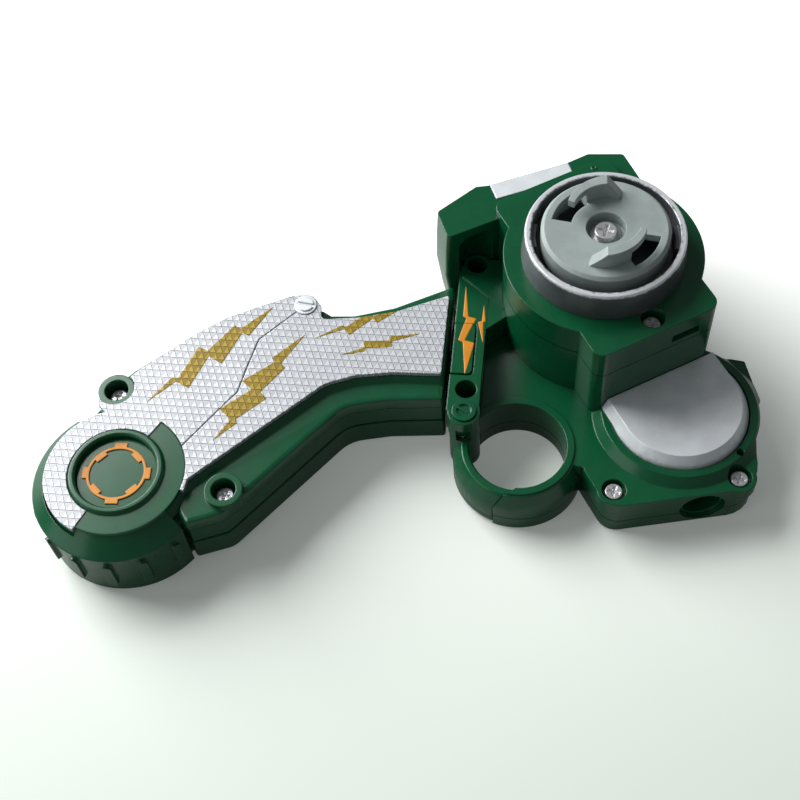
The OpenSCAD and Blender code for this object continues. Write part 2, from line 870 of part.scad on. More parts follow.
module thumb_plate() {
    foot_z = base_top - plate_t + line_gap;
    foot_top = base_top + ring_rise - line_gap;
    color(silver) difference() {
        at_lobe() {
            disc(plate_foot_r, foot_z, foot_top);
            translate([0, 0, foot_top])
                cylinder(r1 = plate_foot_r, r2 = plate_r, h = base_top + plate_rise - foot_top);
            plate_wedge();
        }
        at_lobe() disc(plate_r - plate_t, foot_z - overrun, base_top + plate_rise - plate_t);
        socket_space(socket_r + socket_wall + line_gap);
        slab(foot_z - overrun, base_top + plate_rise + overrun) head_plan(-line_gap);
    }
}

// Head

module head_lower_shell() {
    color(green) {
        difference() {
            slab(base_top, head_seam) head_plan();
            slab(base_top + base_floor_t, head_seam + overrun) head_plan(wall);
        }
        slab(base_top + base_floor_t / 2, bridge_z) difference() {
            head_plan(wall - run_gap);
            head_plan(wall + rib_t);
        }
    }
}

module head_upper_shell() {
    color(green) {
        difference() {
            union() {
                difference() {
                    slab(head_seam, head_top) head_plan();
                    slab(head_seam - overrun, deck_z) head_plan(wall);
                }
                at_head_screws() disc(deck_well_r + cup_wall, deck_floor_z - cup_wall, deck_z + run_gap);
            }
            disc(shaft_r + bush_wall + run_gap, deck_z - overrun, head_top + overrun);
            strip_way();
            at_head_screws() disc(deck_well_r, deck_floor_z, head_top + overrun);
            at_head_screws() disc(screw_shank_r + run_gap, deck_floor_z - deck_well_d, head_top);
        }
        translate([head_w / 2 * mark_shares[0], head_d / 2 * mark_shares[1], 0])
            tube(mark_r, mark_r / 2, head_top - mark_h / 2, head_top + mark_h / 2);
    }
}

module collar_ring() {
    z1 = head_top + collar_h;
    color(satin) {
        rotate_extrude() polygon([
            [collar_floor_r, head_top], [collar_foot_r, head_top],
            [collar_r, z1 - collar_edge], [collar_r - collar_edge / 2, z1],
            [collar_bore_r + collar_edge / 2, z1], [collar_bore_r, z1 - collar_edge / 2],
            [collar_bore_r, head_top + collar_floor_t], [collar_floor_r, head_top + collar_floor_t]]);
        for (a = [wedge_turn, wedge_turn + 180])
            sector(collar_bore_r - wedge_t, collar_bore_r + run_gap, a - wedge_arc / 2, a + wedge_arc / 2,
                head_top + collar_floor_t, head_top + collar_floor_t + wedge_h);
    }
}

module head_screws() {
    color(steel) at_head_screws() translate([0, 0, deck_floor_z])
        screw(screw_head_r, screw_head_t, 2 * cup_wall);
}

module bearing_bridge() {
    color(natural) difference() {
        slab(bridge_z, bridge_z + bridge_t) head_plan(wall);
        disc(shaft_r + bush_wall + run_gap, bridge_z - overrun, bridge_z + bridge_t + overrun);
    }
}

module lower_bush() {
    color(natural) tube(shaft_r + bush_wall, shaft_r + run_gap, bridge_z, carrier_z - seat_gap);
}

module upper_bush() {
    color(natural) {
        tube(shaft_r + bush_wall, shaft_r + run_gap, deck_z, head_top + collar_floor_t);
        tube(bush_flange_r, shaft_r + run_gap, pinion_top + seat_gap, deck_z);
    }
}

module strip_channel() {
    x1 = slot_x + slot_w + line_gap;
    y = head_d / 2 - wall;
    color(natural) {
        for (z = [slot_z - channel_t - line_gap, slot_z + slot_h + line_gap])
            translate([channel_in, -y, z]) cube([x1 - channel_in, 2 * y, channel_t]);
        translate([x1, -y, slot_z - channel_t - line_gap])
            cube([channel_t, 2 * y, slot_h + 2 * channel_t + 2 * line_gap]);
    }
}

// Box behind the head

function box_corners(bulge) = [for (s = box_shares)
    [box_right - (s[0] + (s[0] > box_left_share ? bulge : 0)) * box_w,
        head_d / 2 + (s[1] - box_line_share) * box_d, s[2] * box_d]];

module rear_box() {
    color(green) difference() {
        loft([for (q = bulge_shares) q[0] * box_top],
            [for (q = bulge_shares) rounded(box_corners(q[1]))]);
        slab(box_wall, box_top - box_wall) difference() {
            polygon(rounded(inset(box_corners(box_taper_share), box_wall)));
            at_bar() circle(r = cove_r + box_wall);
            at_bar() translate([-cove_r, 0]) square([2 * cove_r, bar_in + web_reach]);
        }
        slab(-overrun, box_top + overrun) head_plan();
        box_cove();
        strip_way();
        at_strip() translate([0, 0, box_top - strip_t / 2]) cube([strip_l, strip_w, box_top]);
        slab(-overrun, bar_top + overrun) bar_bite();
    }
}

module at_strip() {
    translate([strip_from, head_d / 2 + strip_in, 0]) rotate([0, 0, strip_turn]) children();
}

// The round room over the bar's rear screw hole
module box_cove() {
    at_bar() {
        disc(cove_r, bar_top, cove_z);
        translate([0, 0, cove_z]) cylinder(r1 = cove_r, r2 = cove_r - cove_cone_h, h = cove_cone_h);
    }
}

// What the bar's rear end takes out of the box
module bar_bite() {
    at_bar() {
        circle(r = bar_in + run_gap);
        translate([0, -bar_out - run_gap]) square([bar_pitch, bar_out + bar_in + 2 * run_gap]);
        translate([web_back, -bar_out]) square([web_front, bar_out + bar_in + web_reach]);
    }
}

module rear_strip() {
    color(silver) difference() {
        at_strip() translate([run_gap, run_gap, box_top - strip_t / 2])
            cube([strip_l - 2 * run_gap, strip_w - 2 * run_gap, strip_t]);
        slab(base_top, head_top) head_plan(-run_gap);
    }
}

// Connector bar, latch and gate

// The flat web between the bar and the head
module bar_web() {
    at_bar() polygon([[web_back, 0], [web_front, 0], [web_front, bar_in],
        [web_front_far, bar_in + web_reach / 2], [web_front_far, bar_in + web_reach],
        [web_back, bar_in + web_reach]]);
}

// The raised field round the bar's rear screw, with its slanting edge
module bar_field() {
    slope = (field_mid - field_from) / (field_reach + bar_in);
    at_bar() {
        circle(r = bar_in);
        intersection() {
            polygon([[0, -bar_in], [field_from, -bar_in],
                [field_from + slope * (bar_in + web_reach + bar_in), bar_in + web_reach],
                [web_back, bar_in + web_reach], [web_back, 0]]);
            union() {
                translate([0, -bar_in]) square([web_front, 2 * bar_in]);
                polygon([[web_back, 0], [web_front, 0], [web_front, bar_in],
                    [web_front_far, bar_in + web_reach / 2], [web_front_far, bar_in + web_reach],
                    [web_back, bar_in + web_reach]]);
            }
        }
    }
}

module connector_bar() {
    block_l = pivot_along - knuckle_r - seat_gap;
    over_z = finger_h + seat_gap;
    color(green) difference() {
        union() {
            at_bar() disc(bar_in, 0, bar_top);
            at_bar() translate([0, -bar_out, 0]) cube([block_l, bar_out + bar_in, bar_top]);
            at_bar() translate([block_l - overrun, -bar_out, over_z])
                cube([pivot_along - block_l + overrun, bar_out + bar_in, bar_top - over_z]);
            at_pivot() disc(bar_end_r, over_z, bar_top);
            slab(base_top + line_gap, bar_top - web_drop) bar_web();
            slab(bar_top - wall, bar_top + field_rise) bar_field();
        }
        slab(-overrun, bar_top + overrun) head_plan();
        at_bar() {
            for (u = [0, bar_pitch]) translate([u, 0, 0]) {
                disc(bar_well_r, bar_well_floor, bar_top + overrun);
                disc(screw_shank_r + run_gap, -overrun, bar_top);
            }
            slab(pocket_floor, bar_top + overrun) button_plan(button_gap, overrun + line_gap);
        }
        at_pivot() {
            disc(pin_r, -overrun, bar_top + overrun);
            disc(pin_head_r + run_gap, bar_top - pin_head_t, bar_top + overrun);
            translate([bar_end_r - gate_recess_d, -gate_recess_w / 2, finger_h])
                cube([bar_end_r, gate_recess_w, gate_recess_h]);
        }
    }
}

module bar_screw_space() {
    at_bar() for (u = [0, bar_pitch]) translate([u, 0, 0]) disc(screw_head_r, -overrun, base_seam);
}

module bar_screws() {
    color(steel) at_bar() for (u = [0, bar_pitch])
        translate([u, 0, bar_well_floor]) screw(screw_head_r, screw_head_t, bar_well_floor - overrun);
}

module gate_pin() {
    top = bar_top + rivet_ring_t;
    color(green) at_pivot() {
        difference() {
            union() {
                disc(pin_r - run_gap / 2, gate_foot + pin_foot_t / 2, bar_top);
                disc(pin_head_r, bar_top - pin_head_t, top);
                disc(pin_foot_r, gate_foot, gate_foot + pin_foot_t);
            }
            disc(pin_slot_r, top - pin_slot_d, top + overrun);
        }
        rotate([0, 0, 60]) translate([-pin_slot_r + run_gap, -screw_slot_w / 2, top - 2 * pin_slot_d])
            cube([2 * pin_slot_r - 2 * run_gap, screw_slot_w, 2 * pin_slot_d]);
    }
}

module gate_spring() {
    color(steel) at_pivot() translate([0, 0, finger_h - spring_pocket_d + seat_gap])
        coil(spring_r, spring_wire_r, spring_curl_count, spring_pitch);
}

module gate_half(z0, z1, knuckle_z) {
    difference() {
        union() {
            intersection() {
                at_finger() rotate([0, 0, gate_from]) rotate_extrude(angle = gate_to - gate_from)
                    ring_section(z0, z1);
                at_pivot() disc(gate_reach, z0, z1);
            }
            at_pivot() disc(knuckle_r, max(z0, gate_foot), knuckle_z);
        }
        at_pivot() {
            disc(pin_r + run_gap, z0 - overrun, z1 + overrun);
            disc(pin_foot_r + line_gap, -overrun, gate_foot + pin_foot_t + line_gap);
            disc(spring_pocket_r, finger_h - spring_pocket_d, finger_h + overrun);
        }
    }
}

module gate_lower_half() {
    color(deep_green) gate_half(0, gate_seam, gate_seam);
}

module gate_upper_half() {
    color(green) gate_half(gate_seam, finger_h, finger_h + run_gap);
}

// The button's outline, wider by a gap and longer towards the bar's outer side
module button_plan(gap = 0, out = 0) {
    polygon(rounded([
        [button_from - gap, -bar_out + line_gap - out, button_corner],
        [button_from + button_l + gap, -bar_out + line_gap - out, button_corner],
        [button_from + button_l + gap, -bar_out + line_gap + button_w + gap, button_round],
        [button_from - gap, -bar_out + line_gap + button_w + gap, button_round]]));
}

module latch_button() {
    top = bar_top + button_proud;
    color(green) at_bar() {
        difference() {
            slab(top - button_h, top) button_plan();
            translate([button_from + wall, -bar_out + line_gap + wall, top - button_h - overrun])
                cube([(button_l - stem_l) / 2 - wall * 2, button_w - 2 * wall, button_h - wall + overrun]);
        }
        translate([button_from + (button_l - stem_l) / 2, stem_y - stem_w / 2, stem_z])
            cube([stem_l, stem_w, top - button_h - stem_z]);
        translate([button_from + (button_l - stem_l) / 2, stem_y - stem_w / 2 - latch_tooth_w, tooth_z])
            cube([stem_l, latch_tooth_w, latch_tooth_h]);
    }
}

module latch_spring() {
    room = stem_z - pocket_floor - 2 * run_gap;
    pitch = (room - 2 * latch_wire_r) / latch_curl_count;
    echo(latch_spring_gap = pitch - 2 * latch_wire_r);
    color(steel) at_bar() translate([button_from + button_l / 2, stem_y, pocket_floor + run_gap])
        coil(latch_spring_r, latch_wire_r, latch_curl_count, pitch);
}

// Hub and drive train

module hub_disc() {
    color(hub_grey) difference() {
        union() {
            difference() {
                rotate_extrude() polygon([
                    [0, hub_under], [hub_r, hub_under], [hub_r, hub_z - hub_edge],
                    [hub_r - hub_edge, hub_z], [0, hub_z]]);
                disc(hub_r - hub_wall, hub_under - overrun, hub_z - hub_face_t);
            }
            disc(hub_well_r + hub_wall, hub_under, hub_z - hub_face_t);
            for (a = [0, 180]) rotate([0, 0, a]) prong();
        }
        for (a = [0, 180]) rotate([0, 0, a])
            slab(hub_under - overrun, hub_z + run_gap)
                arc_plan(window_in_r, window_out_r, window_from, window_to);
        disc(hub_well_r, hub_z - hub_well_d, hub_z + overrun);
        disc(shaft_r + run_gap, hub_under - overrun, hub_z);
    }
}

module arc_plan(r0, r1, from, to) {
    intersection() {
        difference() {
            circle(r = r1);
            circle(r = r0);
        }
        polygon([[0, 0], for (k = [0:2]) let (a = from + (to - from) * k / 2)
            2 * r1 * [cos(a), sin(a)]]);
    }
}

// A curved wall with a sloped end, which narrows to a hook over the window
module prong() {
    top = hub_z + prong_h;
    difference() {
        slab(hub_z - hub_face_t / 2, top) prong_plan(prong_slope_from, window_from);
        rotate([0, 0, prong_from]) translate([prong_in_r - overrun, 0, hub_z]) rotate([90, 0, 90])
            linear_extrude(prong_out_r) polygon([[0, prong_h], [-prong_slope_l, 0],
                [-2 * prong_slope_l, 0], [-2 * prong_slope_l, prong_h + overrun], [0, prong_h + overrun]]);
    }
    slab(top - hook_t, top) prong_plan(window_from - hook_lap, hook_to);
}

module prong_plan(from, to) {
    polygon(concat(
        [for (k = [0:prong_steps]) let (a = from + (to - from) * k / prong_steps)
            (prong_out_r + (hook_out_r - prong_out_r) * prong_turned(a)) * [cos(a), sin(a)]],
        [for (k = [0:prong_steps]) let (a = to + (from - to) * k / prong_steps)
            (prong_in_r - hook_in * prong_turned(a)) * [cos(a), sin(a)]]));
}

// How far along its narrowing stretch the prong is at an angle, from 0 to 1
function prong_turned(a) = max(0, a - prong_from) / (hook_to - prong_from);

module hub_washer() {
    color(steel) tube(washer_r, shaft_r, hub_z - hub_well_d, hub_z - hub_well_d + washer_t);
}

module hub_screw() {
    color(steel) translate([0, 0, hub_z - hub_well_d + washer_t])
        screw(hub_screw_r, screw_head_t, washer_t + bush_h);
}

module hub_shaft() {
    top = hub_z - hub_well_d;
    color(steel) difference() {
        disc(shaft_r, bridge_z - run_gap, top);
        disc(screw_shank_r + run_gap, top - bush_h - line_gap, top + overrun);
    }
}

module pawl_carrier() {
    color(natural) {
        tube(carrier_r, shaft_r, carrier_z, carrier_z + carrier_t);
        for (a = [0, 180]) rotate([0, 0, a]) translate([pawl_pivot_r, 0, 0])
            disc(pawl_pin_r, carrier_z + carrier_t / 2, ratchet_z + ratchet_h);
    }
}

module pawl_springs() {
    color(steel) for (a = [0, 180]) rotate([0, 0, a])
        translate([pawl_pivot_r, 0, carrier_z + carrier_t + run_gap])
            coil(pawl_coil_r, pawl_wire_r, pawl_curl_count, pawl_pitch);
}

function gear_points(teeth, tip, root) = [for (i = [0:teeth - 1])
    let (a = i * 360 / teeth, w = 360 / teeth * tooth_share / 2, t = 360 / teeth * tooth_tip_share / 2)
    for (q = [[root, a - w], [tip, a - t], [tip, a + t], [root, a + w]])
        q[0] * [cos(q[1]), sin(q[1])]];

module drive_pinion() {
    color(natural) difference() {
        union() {
            slab(pinion_z, pinion_top) polygon(gear_points(pinion_teeth, pinion_r, pinion_r - tooth_depth));
            disc(drive_collar_r, pinion_z - drive_collar_t, pinion_top);
        }
        disc(shaft_r + run_gap, pinion_z - overrun, pinion_top + overrun);
    }
}

// Saw teeth: each rises along its back and drops at its radial face
module ratchet_wheel() {
    root = ratchet_r - ratchet_depth;
    step = 360 / ratchet_teeth;
    color(natural) difference() {
        slab(ratchet_z, ratchet_z + ratchet_h) polygon([for (i = [0:ratchet_teeth - 1])
            let (a = ratchet_turn + i * step)
            for (q = [[root, a], [ratchet_r, a], [(root + ratchet_r) / 2, a + step / 2]])
                q[0] * [cos(q[1]), sin(q[1])]]);
        disc(shaft_r + run_gap, ratchet_z - overrun, pinion_z + overrun);
    }
}
ratchet_turn = pawl_tip_turn + ratchet_lead;

module pawl() {
    tip = pawl_tip_r * [cos(pawl_tip_turn), sin(pawl_tip_turn)];
    pivot = [pawl_pivot_r, 0];
    along = unit(tip - pivot);
    side = left_of(along);
    z0 = ratchet_z + seat_gap;
    difference() {
        union() {
            translate([pivot[0], pivot[1], 0]) disc(pawl_head_r, z0, z0 + pawl_t);
            slab(z0, z0 + pawl_t) polygon([
                pivot + side * pawl_back, pivot - side * pawl_back,
                tip - side * pawl_nose, tip]);
        }
        translate([pivot[0], pivot[1], 0]) disc(pawl_pin_r + run_gap, z0 - overrun, z0 + pawl_t + overrun);
    }
}

module pawl_a() {
    color(orange) pawl();
}

module pawl_b() {
    color(orange) rotate([0, 0, 180]) pawl();
}

// Grip

module grip_plan(d = 0) {
    polygon(rounded(inset(grip_corners, d)));
    at_tail() circle(r = tail_core_r - d);
}

module cover_plan(d = 0) {
    polygon(rounded(inset(cover_corners, d)));
    at_tail() circle(r = cover_tail_r - d);
}

module grip_bottom_shell() {
    color(green) difference() {
        union() {
            loft([0, grip_bottom_round, grip_seam_1], [rounded(inset(grip_corners, grip_bottom_round)),
                rounded(grip_corners), rounded(grip_corners)]);
            at_tail() disc(tail_core_r, 0, grip_seam_1);
        }
        slab(grip_floor_t, grip_seam_1 + overrun) grip_plan(wall);
    }
    color(green) at_wells() difference() {
        disc(screw_shank_r + boss_wall, grip_floor_t / 2, grip_seam_2);
        disc(screw_shank_r, grip_seam_1, grip_seam_2 + overrun);
    }
}

module grip_middle_band() {
    color(deep_green) difference() {
        slab(grip_seam_1, grip_seam_2) grip_plan(band_step);
        slab(grip_seam_1 - overrun, grip_seam_2 + overrun) grip_plan(wall + band_step);
        at_wells() disc(screw_shank_r + boss_wall + run_gap, grip_seam_1 - overrun, grip_seam_2 + overrun);
        tongue_space();
    }
}

module grip_top_shell() {
    color(green) difference() {
        union() {
            difference() {
                union() {
                    loft([grip_seam_2, ledge_z - ledge_round, ledge_z - ledge_round * ledge_rise_share, ledge_z],
                        [rounded(grip_corners), rounded(grip_corners),
                         rounded(inset(grip_corners, ledge_round * ledge_in_share)),
                         rounded(inset(grip_corners, ledge_round))]);
                    at_tail() disc(tail_core_r, grip_seam_2, tail_wall_z);
                }
                slab(grip_seam_2 - overrun, ledge_z - grip_top_t) grip_plan(wall + ledge_round);
            }
            intersection() {
                loft([ledge_z - wall / 2, seat_z], [rounded(inset(cover_corners, -seat_flare)),
                    rounded(inset(cover_corners, -cover_edge))]);
                slab(grip_seam_2, seat_z + overrun) grip_plan(band_step);
            }
            at_tail() {
                disc(cover_tail_r + cover_edge, grip_seam_2, tail_wall_z + wall);
                translate([0, 0, tail_wall_z + wall]) cylinder(r1 = cover_tail_r + cover_edge,
                    r2 = crescent_r - cover_edge, h = seat_z - tail_wall_z - wall);
            }
            at_wells() disc(well_r + well_floor_t, grip_seam_2, collared_z);
            at_wells() disc(collared_r, tail_wall_z, collared_z);
        }
        at_wells() disc(well_r, well_floor_z, collared_z + overrun);
        at_wells() disc(screw_shank_r + run_gap, grip_seam_2 - overrun, collared_z);
    }
}

module tongue_space() {
    at_bar() translate([tongue_from - line_gap, -bar_out - grip_gap - tongue_root, tongue_z - line_gap])
        cube([tongue_l + 2 * line_gap, tongue_root + overrun, tongue_t + 2 * line_gap]);
}

module grip_tongue() {
    y0 = -bar_out - grip_gap;
    color(green) at_bar() difference() {
        translate([tongue_from, y0 - tongue_root, tongue_z])
            cube([tongue_l, tongue_root + tongue_in, tongue_t]);
        translate([button_from + (button_l - stem_l) / 2 - tongue_gap, stem_y - stem_w / 2 - tongue_gap,
            tongue_z - overrun]) cube([stem_l + 2 * tongue_gap, stem_w + 2 * tongue_gap, tongue_t + 2 * overrun]);
        translate([button_from + (button_l - stem_l) / 2 - tongue_gap,
            stem_y - stem_w / 2 - latch_tooth_w - tongue_gap, tongue_z - overrun])
            cube([stem_l + 2 * tongue_gap, latch_tooth_w + 2 * tongue_gap,
                tooth_z + latch_tooth_h + tongue_gap - tongue_z + overrun]);
    }
}

// One side of the line between the covers, moved off the line by half its width
module parting(side) {
    shift = side * cover_line / 2 * parting_normal_shares;
    polygon([for (s = concat(parting_shares, parting_close_shares)) grip_point(s) + shift]);
}

module covers_blank() {
    slab(seat_z, seat_z + cover_t) difference() {
        cover_plan();
        at_tail() circle(r = badge_r + line_gap);
        at_tail() crescent_plan(line_gap);
        at_tail() polygon([[0, 0], for (k = [0:4]) let (a = crescent_from + (bare_to - crescent_from) * k / 4)
            tail_r * 2 * [cos(a), sin(a)]]);
        at_wells() circle(r = collared_r + line_gap);
    }
}

module crescent_plan(grow) {
    intersection() {
        circle(r = crescent_r + grow);
        polygon([[0, 0], for (k = [0:8]) let (a = crescent_from + (crescent_to - crescent_from) * k / 8)
            crescent_r * 2 * [cos(a), sin(a)]]);
    }
}

module front_cover() {
    color(silver) difference() {
        intersection() {
            covers_blank();
            slab(seat_z - overrun, seat_z + cover_t + overrun) parting(1);
        }
        rivet_space();
    }
}

module rear_cover() {
    color(silver) difference() {
        covers_blank();
        slab(seat_z - overrun, seat_z + cover_t + overrun) parting(-1);
        rivet_space();
    }
}

module rivet_space() {
    translate([grip_point(rivet_shares)[0], grip_point(rivet_shares)[1], 0])
        disc(rivet_r + run_gap, seat_z - overrun, seat_z + cover_t + overrun);
}

module cover_rivet() {
    top = seat_z + rivet_h + cover_t;
    color(silver) translate([grip_point(rivet_shares)[0], grip_point(rivet_shares)[1], 0])
        difference() {
            union() {
                disc(rivet_r, seat_z, top - rivet_h / 2);
                disc(rivet_top_r, seat_z, top);
            }
            rotate([0, 0, -40]) translate([-rivet_top_r, -rivet_slot_w / 2, top - rivet_slot_d])
                cube([2 * rivet_top_r, rivet_slot_w, rivet_slot_d + overrun]);
        }
}

// Tail

module tail_drum() {
    color(green) at_tail() {
        sector(tail_core_r, tail_r, drum_from, drum_to, 0, tail_wall_z);
        for (k = [0:rib_count - 1]) rotate([0, 0, rib_from + k * rib_step]) rib();
    }
}

module rib() {
    x = tail_r - tail_t / 2;
    translate([x, -rib_w / 2, rib_z0 + rib_w / 2]) cube([rib_out + tail_t / 2, rib_w, rib_z1 - rib_z0 - rib_w]);
    for (z = [rib_z0 + rib_w / 2, rib_z1 - rib_w / 2])
        translate([x, 0, z]) rotate([0, 90, 0]) cylinder(r = rib_w / 2, h = rib_out + tail_t / 2, $fn = 24);
}

// The bevel over the drum, the crescent and the ring round the badge
module tail_cap() {
    inner = cover_tail_r + cover_edge + line_gap;
    foot = tail_r + drum_overhang;
    slope = (bevel_top_z - tail_wall_z) / (foot - crescent_r);
    inner_z = tail_wall_z + slope * (foot - inner);
    color(green) at_tail() {
        difference() {
            rotate_extrude() polygon([
                [inner, tail_wall_z], [foot, tail_wall_z],
                [crescent_r - cover_edge / 2, bevel_top_z + slope * cover_edge / 2],
                [crescent_r - cover_edge, seat_z + 2 * run_gap], [inner, inner_z - rim_drop]]);
            sector(0, inner + run_gap, drum_from - crescent_lap, crescent_from + crescent_lap,
                tail_wall_z - overrun, cap_z + overrun);
            sector(0, foot + overrun, drum_to, drum_from + 360, tail_wall_z - overrun, cap_z + overrun);
        }
        slab(seat_z + run_gap, cap_z) difference() {
            crescent_plan(0);
            circle(r = badge_r - line_gap);
        }
        rotate_extrude() polygon([
            [badge_bore_r, seat_z], [badge_r, seat_z], [badge_r, cap_z + run_gap],
            [badge_r - wall / 3, badge_z], [badge_bore_r + wall / 4, badge_z],
            [badge_bore_r, badge_z - wall / 4]]);
    }
}

module badge_disc() {
    color(green) at_tail() disc(badge_bore_r - run_gap, seat_z, badge_floor_z + badge_t - wall / 3);
}

module badge_gear() {
    z0 = badge_floor_z + badge_t - wall / 3;
    color(orange) at_tail() {
        tube(gear_r + gear_line / 2, gear_r - gear_line / 2, z0, z0 + gear_t);
        for (k = [0:tab_count - 1]) rotate([0, 0, tab_turn + k * 360 / tab_count])
            translate([k % 2 == 1 ? gear_r : gear_r - tab_l, -tab_w / 2, z0]) cube([tab_l, tab_w, gear_t]);
    }
}

module grip_screws() {
    color(steel) at_wells() translate([0, 0, well_floor_z])
        screw(screw_head_r, screw_head_t, well_floor_z - grip_seam_1 - run_gap);
}

base_bottom_shell();
base_top_shell();
thumb_plate();
peg_socket();
base_screws();
head_lower_shell();
head_upper_shell();
collar_ring();
head_screws();
bearing_bridge();
lower_bush();
upper_bush();
strip_channel();
rear_box();
rear_strip();
connector_bar();
bar_screws();
gate_pin();
gate_spring();
gate_upper_half();
gate_lower_half();
latch_button();
latch_spring();
hub_disc();
hub_washer();
hub_screw();
hub_shaft();
pawl_carrier();
pawl_springs();
drive_pinion();
ratchet_wheel();
pawl_a();
pawl_b();
grip_bottom_shell();
grip_middle_band();
grip_top_shell();
grip_tongue();
front_cover();
rear_cover();
cover_rivet();
tail_drum();
tail_cap();
badge_disc();
badge_gear();
grip_screws();
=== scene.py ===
"""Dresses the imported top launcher: softened mouldings, printed covers, finishes, studio and camera."""

import logging
import math
from dataclasses import dataclass, field, replace
from enum import Enum
from typing import Iterable, Optional, Sequence

import bpy
from mathutils import Matrix, Vector
from mathutils.bvhtree import BVHTree


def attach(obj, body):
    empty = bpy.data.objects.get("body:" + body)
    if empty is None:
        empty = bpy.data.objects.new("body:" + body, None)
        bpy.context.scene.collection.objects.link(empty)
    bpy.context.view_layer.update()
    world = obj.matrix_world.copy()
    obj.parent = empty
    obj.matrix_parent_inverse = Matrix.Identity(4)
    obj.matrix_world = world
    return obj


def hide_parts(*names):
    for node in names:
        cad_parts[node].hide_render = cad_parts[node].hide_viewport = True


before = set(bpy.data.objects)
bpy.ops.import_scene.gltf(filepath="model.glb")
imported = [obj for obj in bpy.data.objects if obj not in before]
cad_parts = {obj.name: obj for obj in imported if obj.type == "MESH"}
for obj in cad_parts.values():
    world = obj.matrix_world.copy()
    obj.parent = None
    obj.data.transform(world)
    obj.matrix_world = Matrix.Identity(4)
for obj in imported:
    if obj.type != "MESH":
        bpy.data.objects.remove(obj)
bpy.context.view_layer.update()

MM = 0.001
MERGE = 0.004
FLAT_ANGLE = 0.6
JOIN_ANGLE = 0.4
SHARP_ANGLE = 34
FOLD_LIMIT = 0.06
HEAD_SEAM, BASE_SEAM, GATE_SEAM = 29.7, 4.6, 2.8
GRIP_SEAMS = (8.3, 14.7)
Colour = tuple[float, float, float]
LOG = logging.getLogger("launcher")


class Body(Enum):
    """The bodies that new pieces ride on."""

    FIXED = "body"
    HUB = "hub"
    LATCH = "latch"
    GATE = "gate"


class Slot(Enum):
    """The record's material slots; soften is given one but does not use it."""

    GREEN = "green_shell"
    SILVER = "silver_plate"
    COLLAR = "satin_collar"
    GREY = "grey_hub"
    SCREW = "screw_steel"
    ORANGE = "orange_plastic"


# Mesh helpers


def select_only(*objects: bpy.types.Object) -> None:
    """Leaves object mode with only these objects selected, the first one active.

    Args:
        objects: what to select.
    """
    if bpy.context.object and bpy.context.object.mode != "OBJECT":
        bpy.ops.object.mode_set(mode="OBJECT")
    bpy.ops.object.select_all(action="DESELECT")
    for item in objects:
        item.select_set(True)
    bpy.context.view_layer.objects.active = objects[0]


def apply_modifier(piece: bpy.types.Object, kind: str, **settings: object) -> None:
    """Adds a modifier with these settings and applies it.

    Args:
        piece: the object to change.
        kind: the modifier's type.
        settings: the modifier's properties.
    """
    select_only(piece)
    bpy.ops.object.modifier_add(type=kind)
    modifier = piece.modifiers[-1]
    for key, value in settings.items():
        setattr(modifier, key, value)
    bpy.ops.object.modifier_apply(modifier=modifier.name)


def copy_of_node(node: str, name: str) -> bpy.types.Object:
    """A merged copy of a CAD node's mesh, with its flat faces made whole.

    Args:
        node: the CAD node's name.
        name: the copy's name.

    Returns:
        The copy, at the origin and on no body yet.
    """
    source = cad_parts[node]
    piece = source.copy()
    piece.data = source.data.copy()
    piece.name = piece.data.name = name
    for key in list(piece.keys()):
        del piece[key]
    piece.parent = None
    bpy.context.scene.collection.objects.link(piece)
    piece.hide_render = piece.hide_viewport = False
    select_only(piece)
    bpy.ops.mesh.customdata_custom_splitnormals_clear()
    bpy.ops.object.mode_set(mode="EDIT")
    bpy.ops.mesh.select_all(action="SELECT")
    bpy.ops.mesh.remove_doubles(threshold=MERGE * MM)
    bpy.ops.mesh.dissolve_limited(angle_limit=math.radians(FLAT_ANGLE))
    bpy.ops.mesh.quads_convert_to_tris(quad_method="BEAUTY", ngon_method="BEAUTY")
    bpy.ops.object.mode_set(mode="OBJECT")
    return piece


def skin_area(piece: bpy.types.Object) -> float:
    """The area of a mesh as its triangles cover it, so that a folded face counts twice.

    Args:
        piece: the object.

    Returns:
        The area in square metres.
    """
    piece.data.calc_loop_triangles()
    return sum(triangle.area for triangle in piece.data.loop_triangles)


def even_shading(piece: bpy.types.Object) -> None:
    """Shades a piece smooth between its sharp edges, with its large faces flat.

    Args:
        piece: the object to change.
    """
    select_only(piece)
    bpy.ops.mesh.customdata_custom_splitnormals_clear()
    bpy.ops.object.shade_smooth_by_angle(angle=math.radians(SHARP_ANGLE))
    apply_modifier(piece, "WEIGHTED_NORMAL", keep_sharp=True, weight=90)


def join_flat_faces(piece: bpy.types.Object) -> None:
    """Joins the faces of each flat, so that its shading stays flat, unless a face would fold.

    Args:
        piece: the object to change.
    """
    area, before = skin_area(piece), piece.data.copy()
    select_only(piece)
    bpy.ops.object.mode_set(mode="EDIT")
    bpy.ops.mesh.select_all(action="SELECT")
    bpy.ops.mesh.dissolve_limited(angle_limit=math.radians(JOIN_ANGLE))
    bpy.ops.object.mode_set(mode="OBJECT")
    if abs(skin_area(piece) - area) > 0.001 * area:
        piece.data = before


def folded_area(piece: bpy.types.Object, skin: BVHTree) -> float:
    """The area of the faces that look against the surface that they came from.

    Args:
        piece: the object.
        skin: its surface before it was rounded.

    Returns:
        The area in square metres.
    """
    total = 0.0
    for face in piece.data.polygons:
        if face.area > MERGE * MM * MM:
            normal = skin.find_nearest(face.center)[1]
            if normal is not None and normal.dot(face.normal) < -0.2:
                total += face.area
    return total


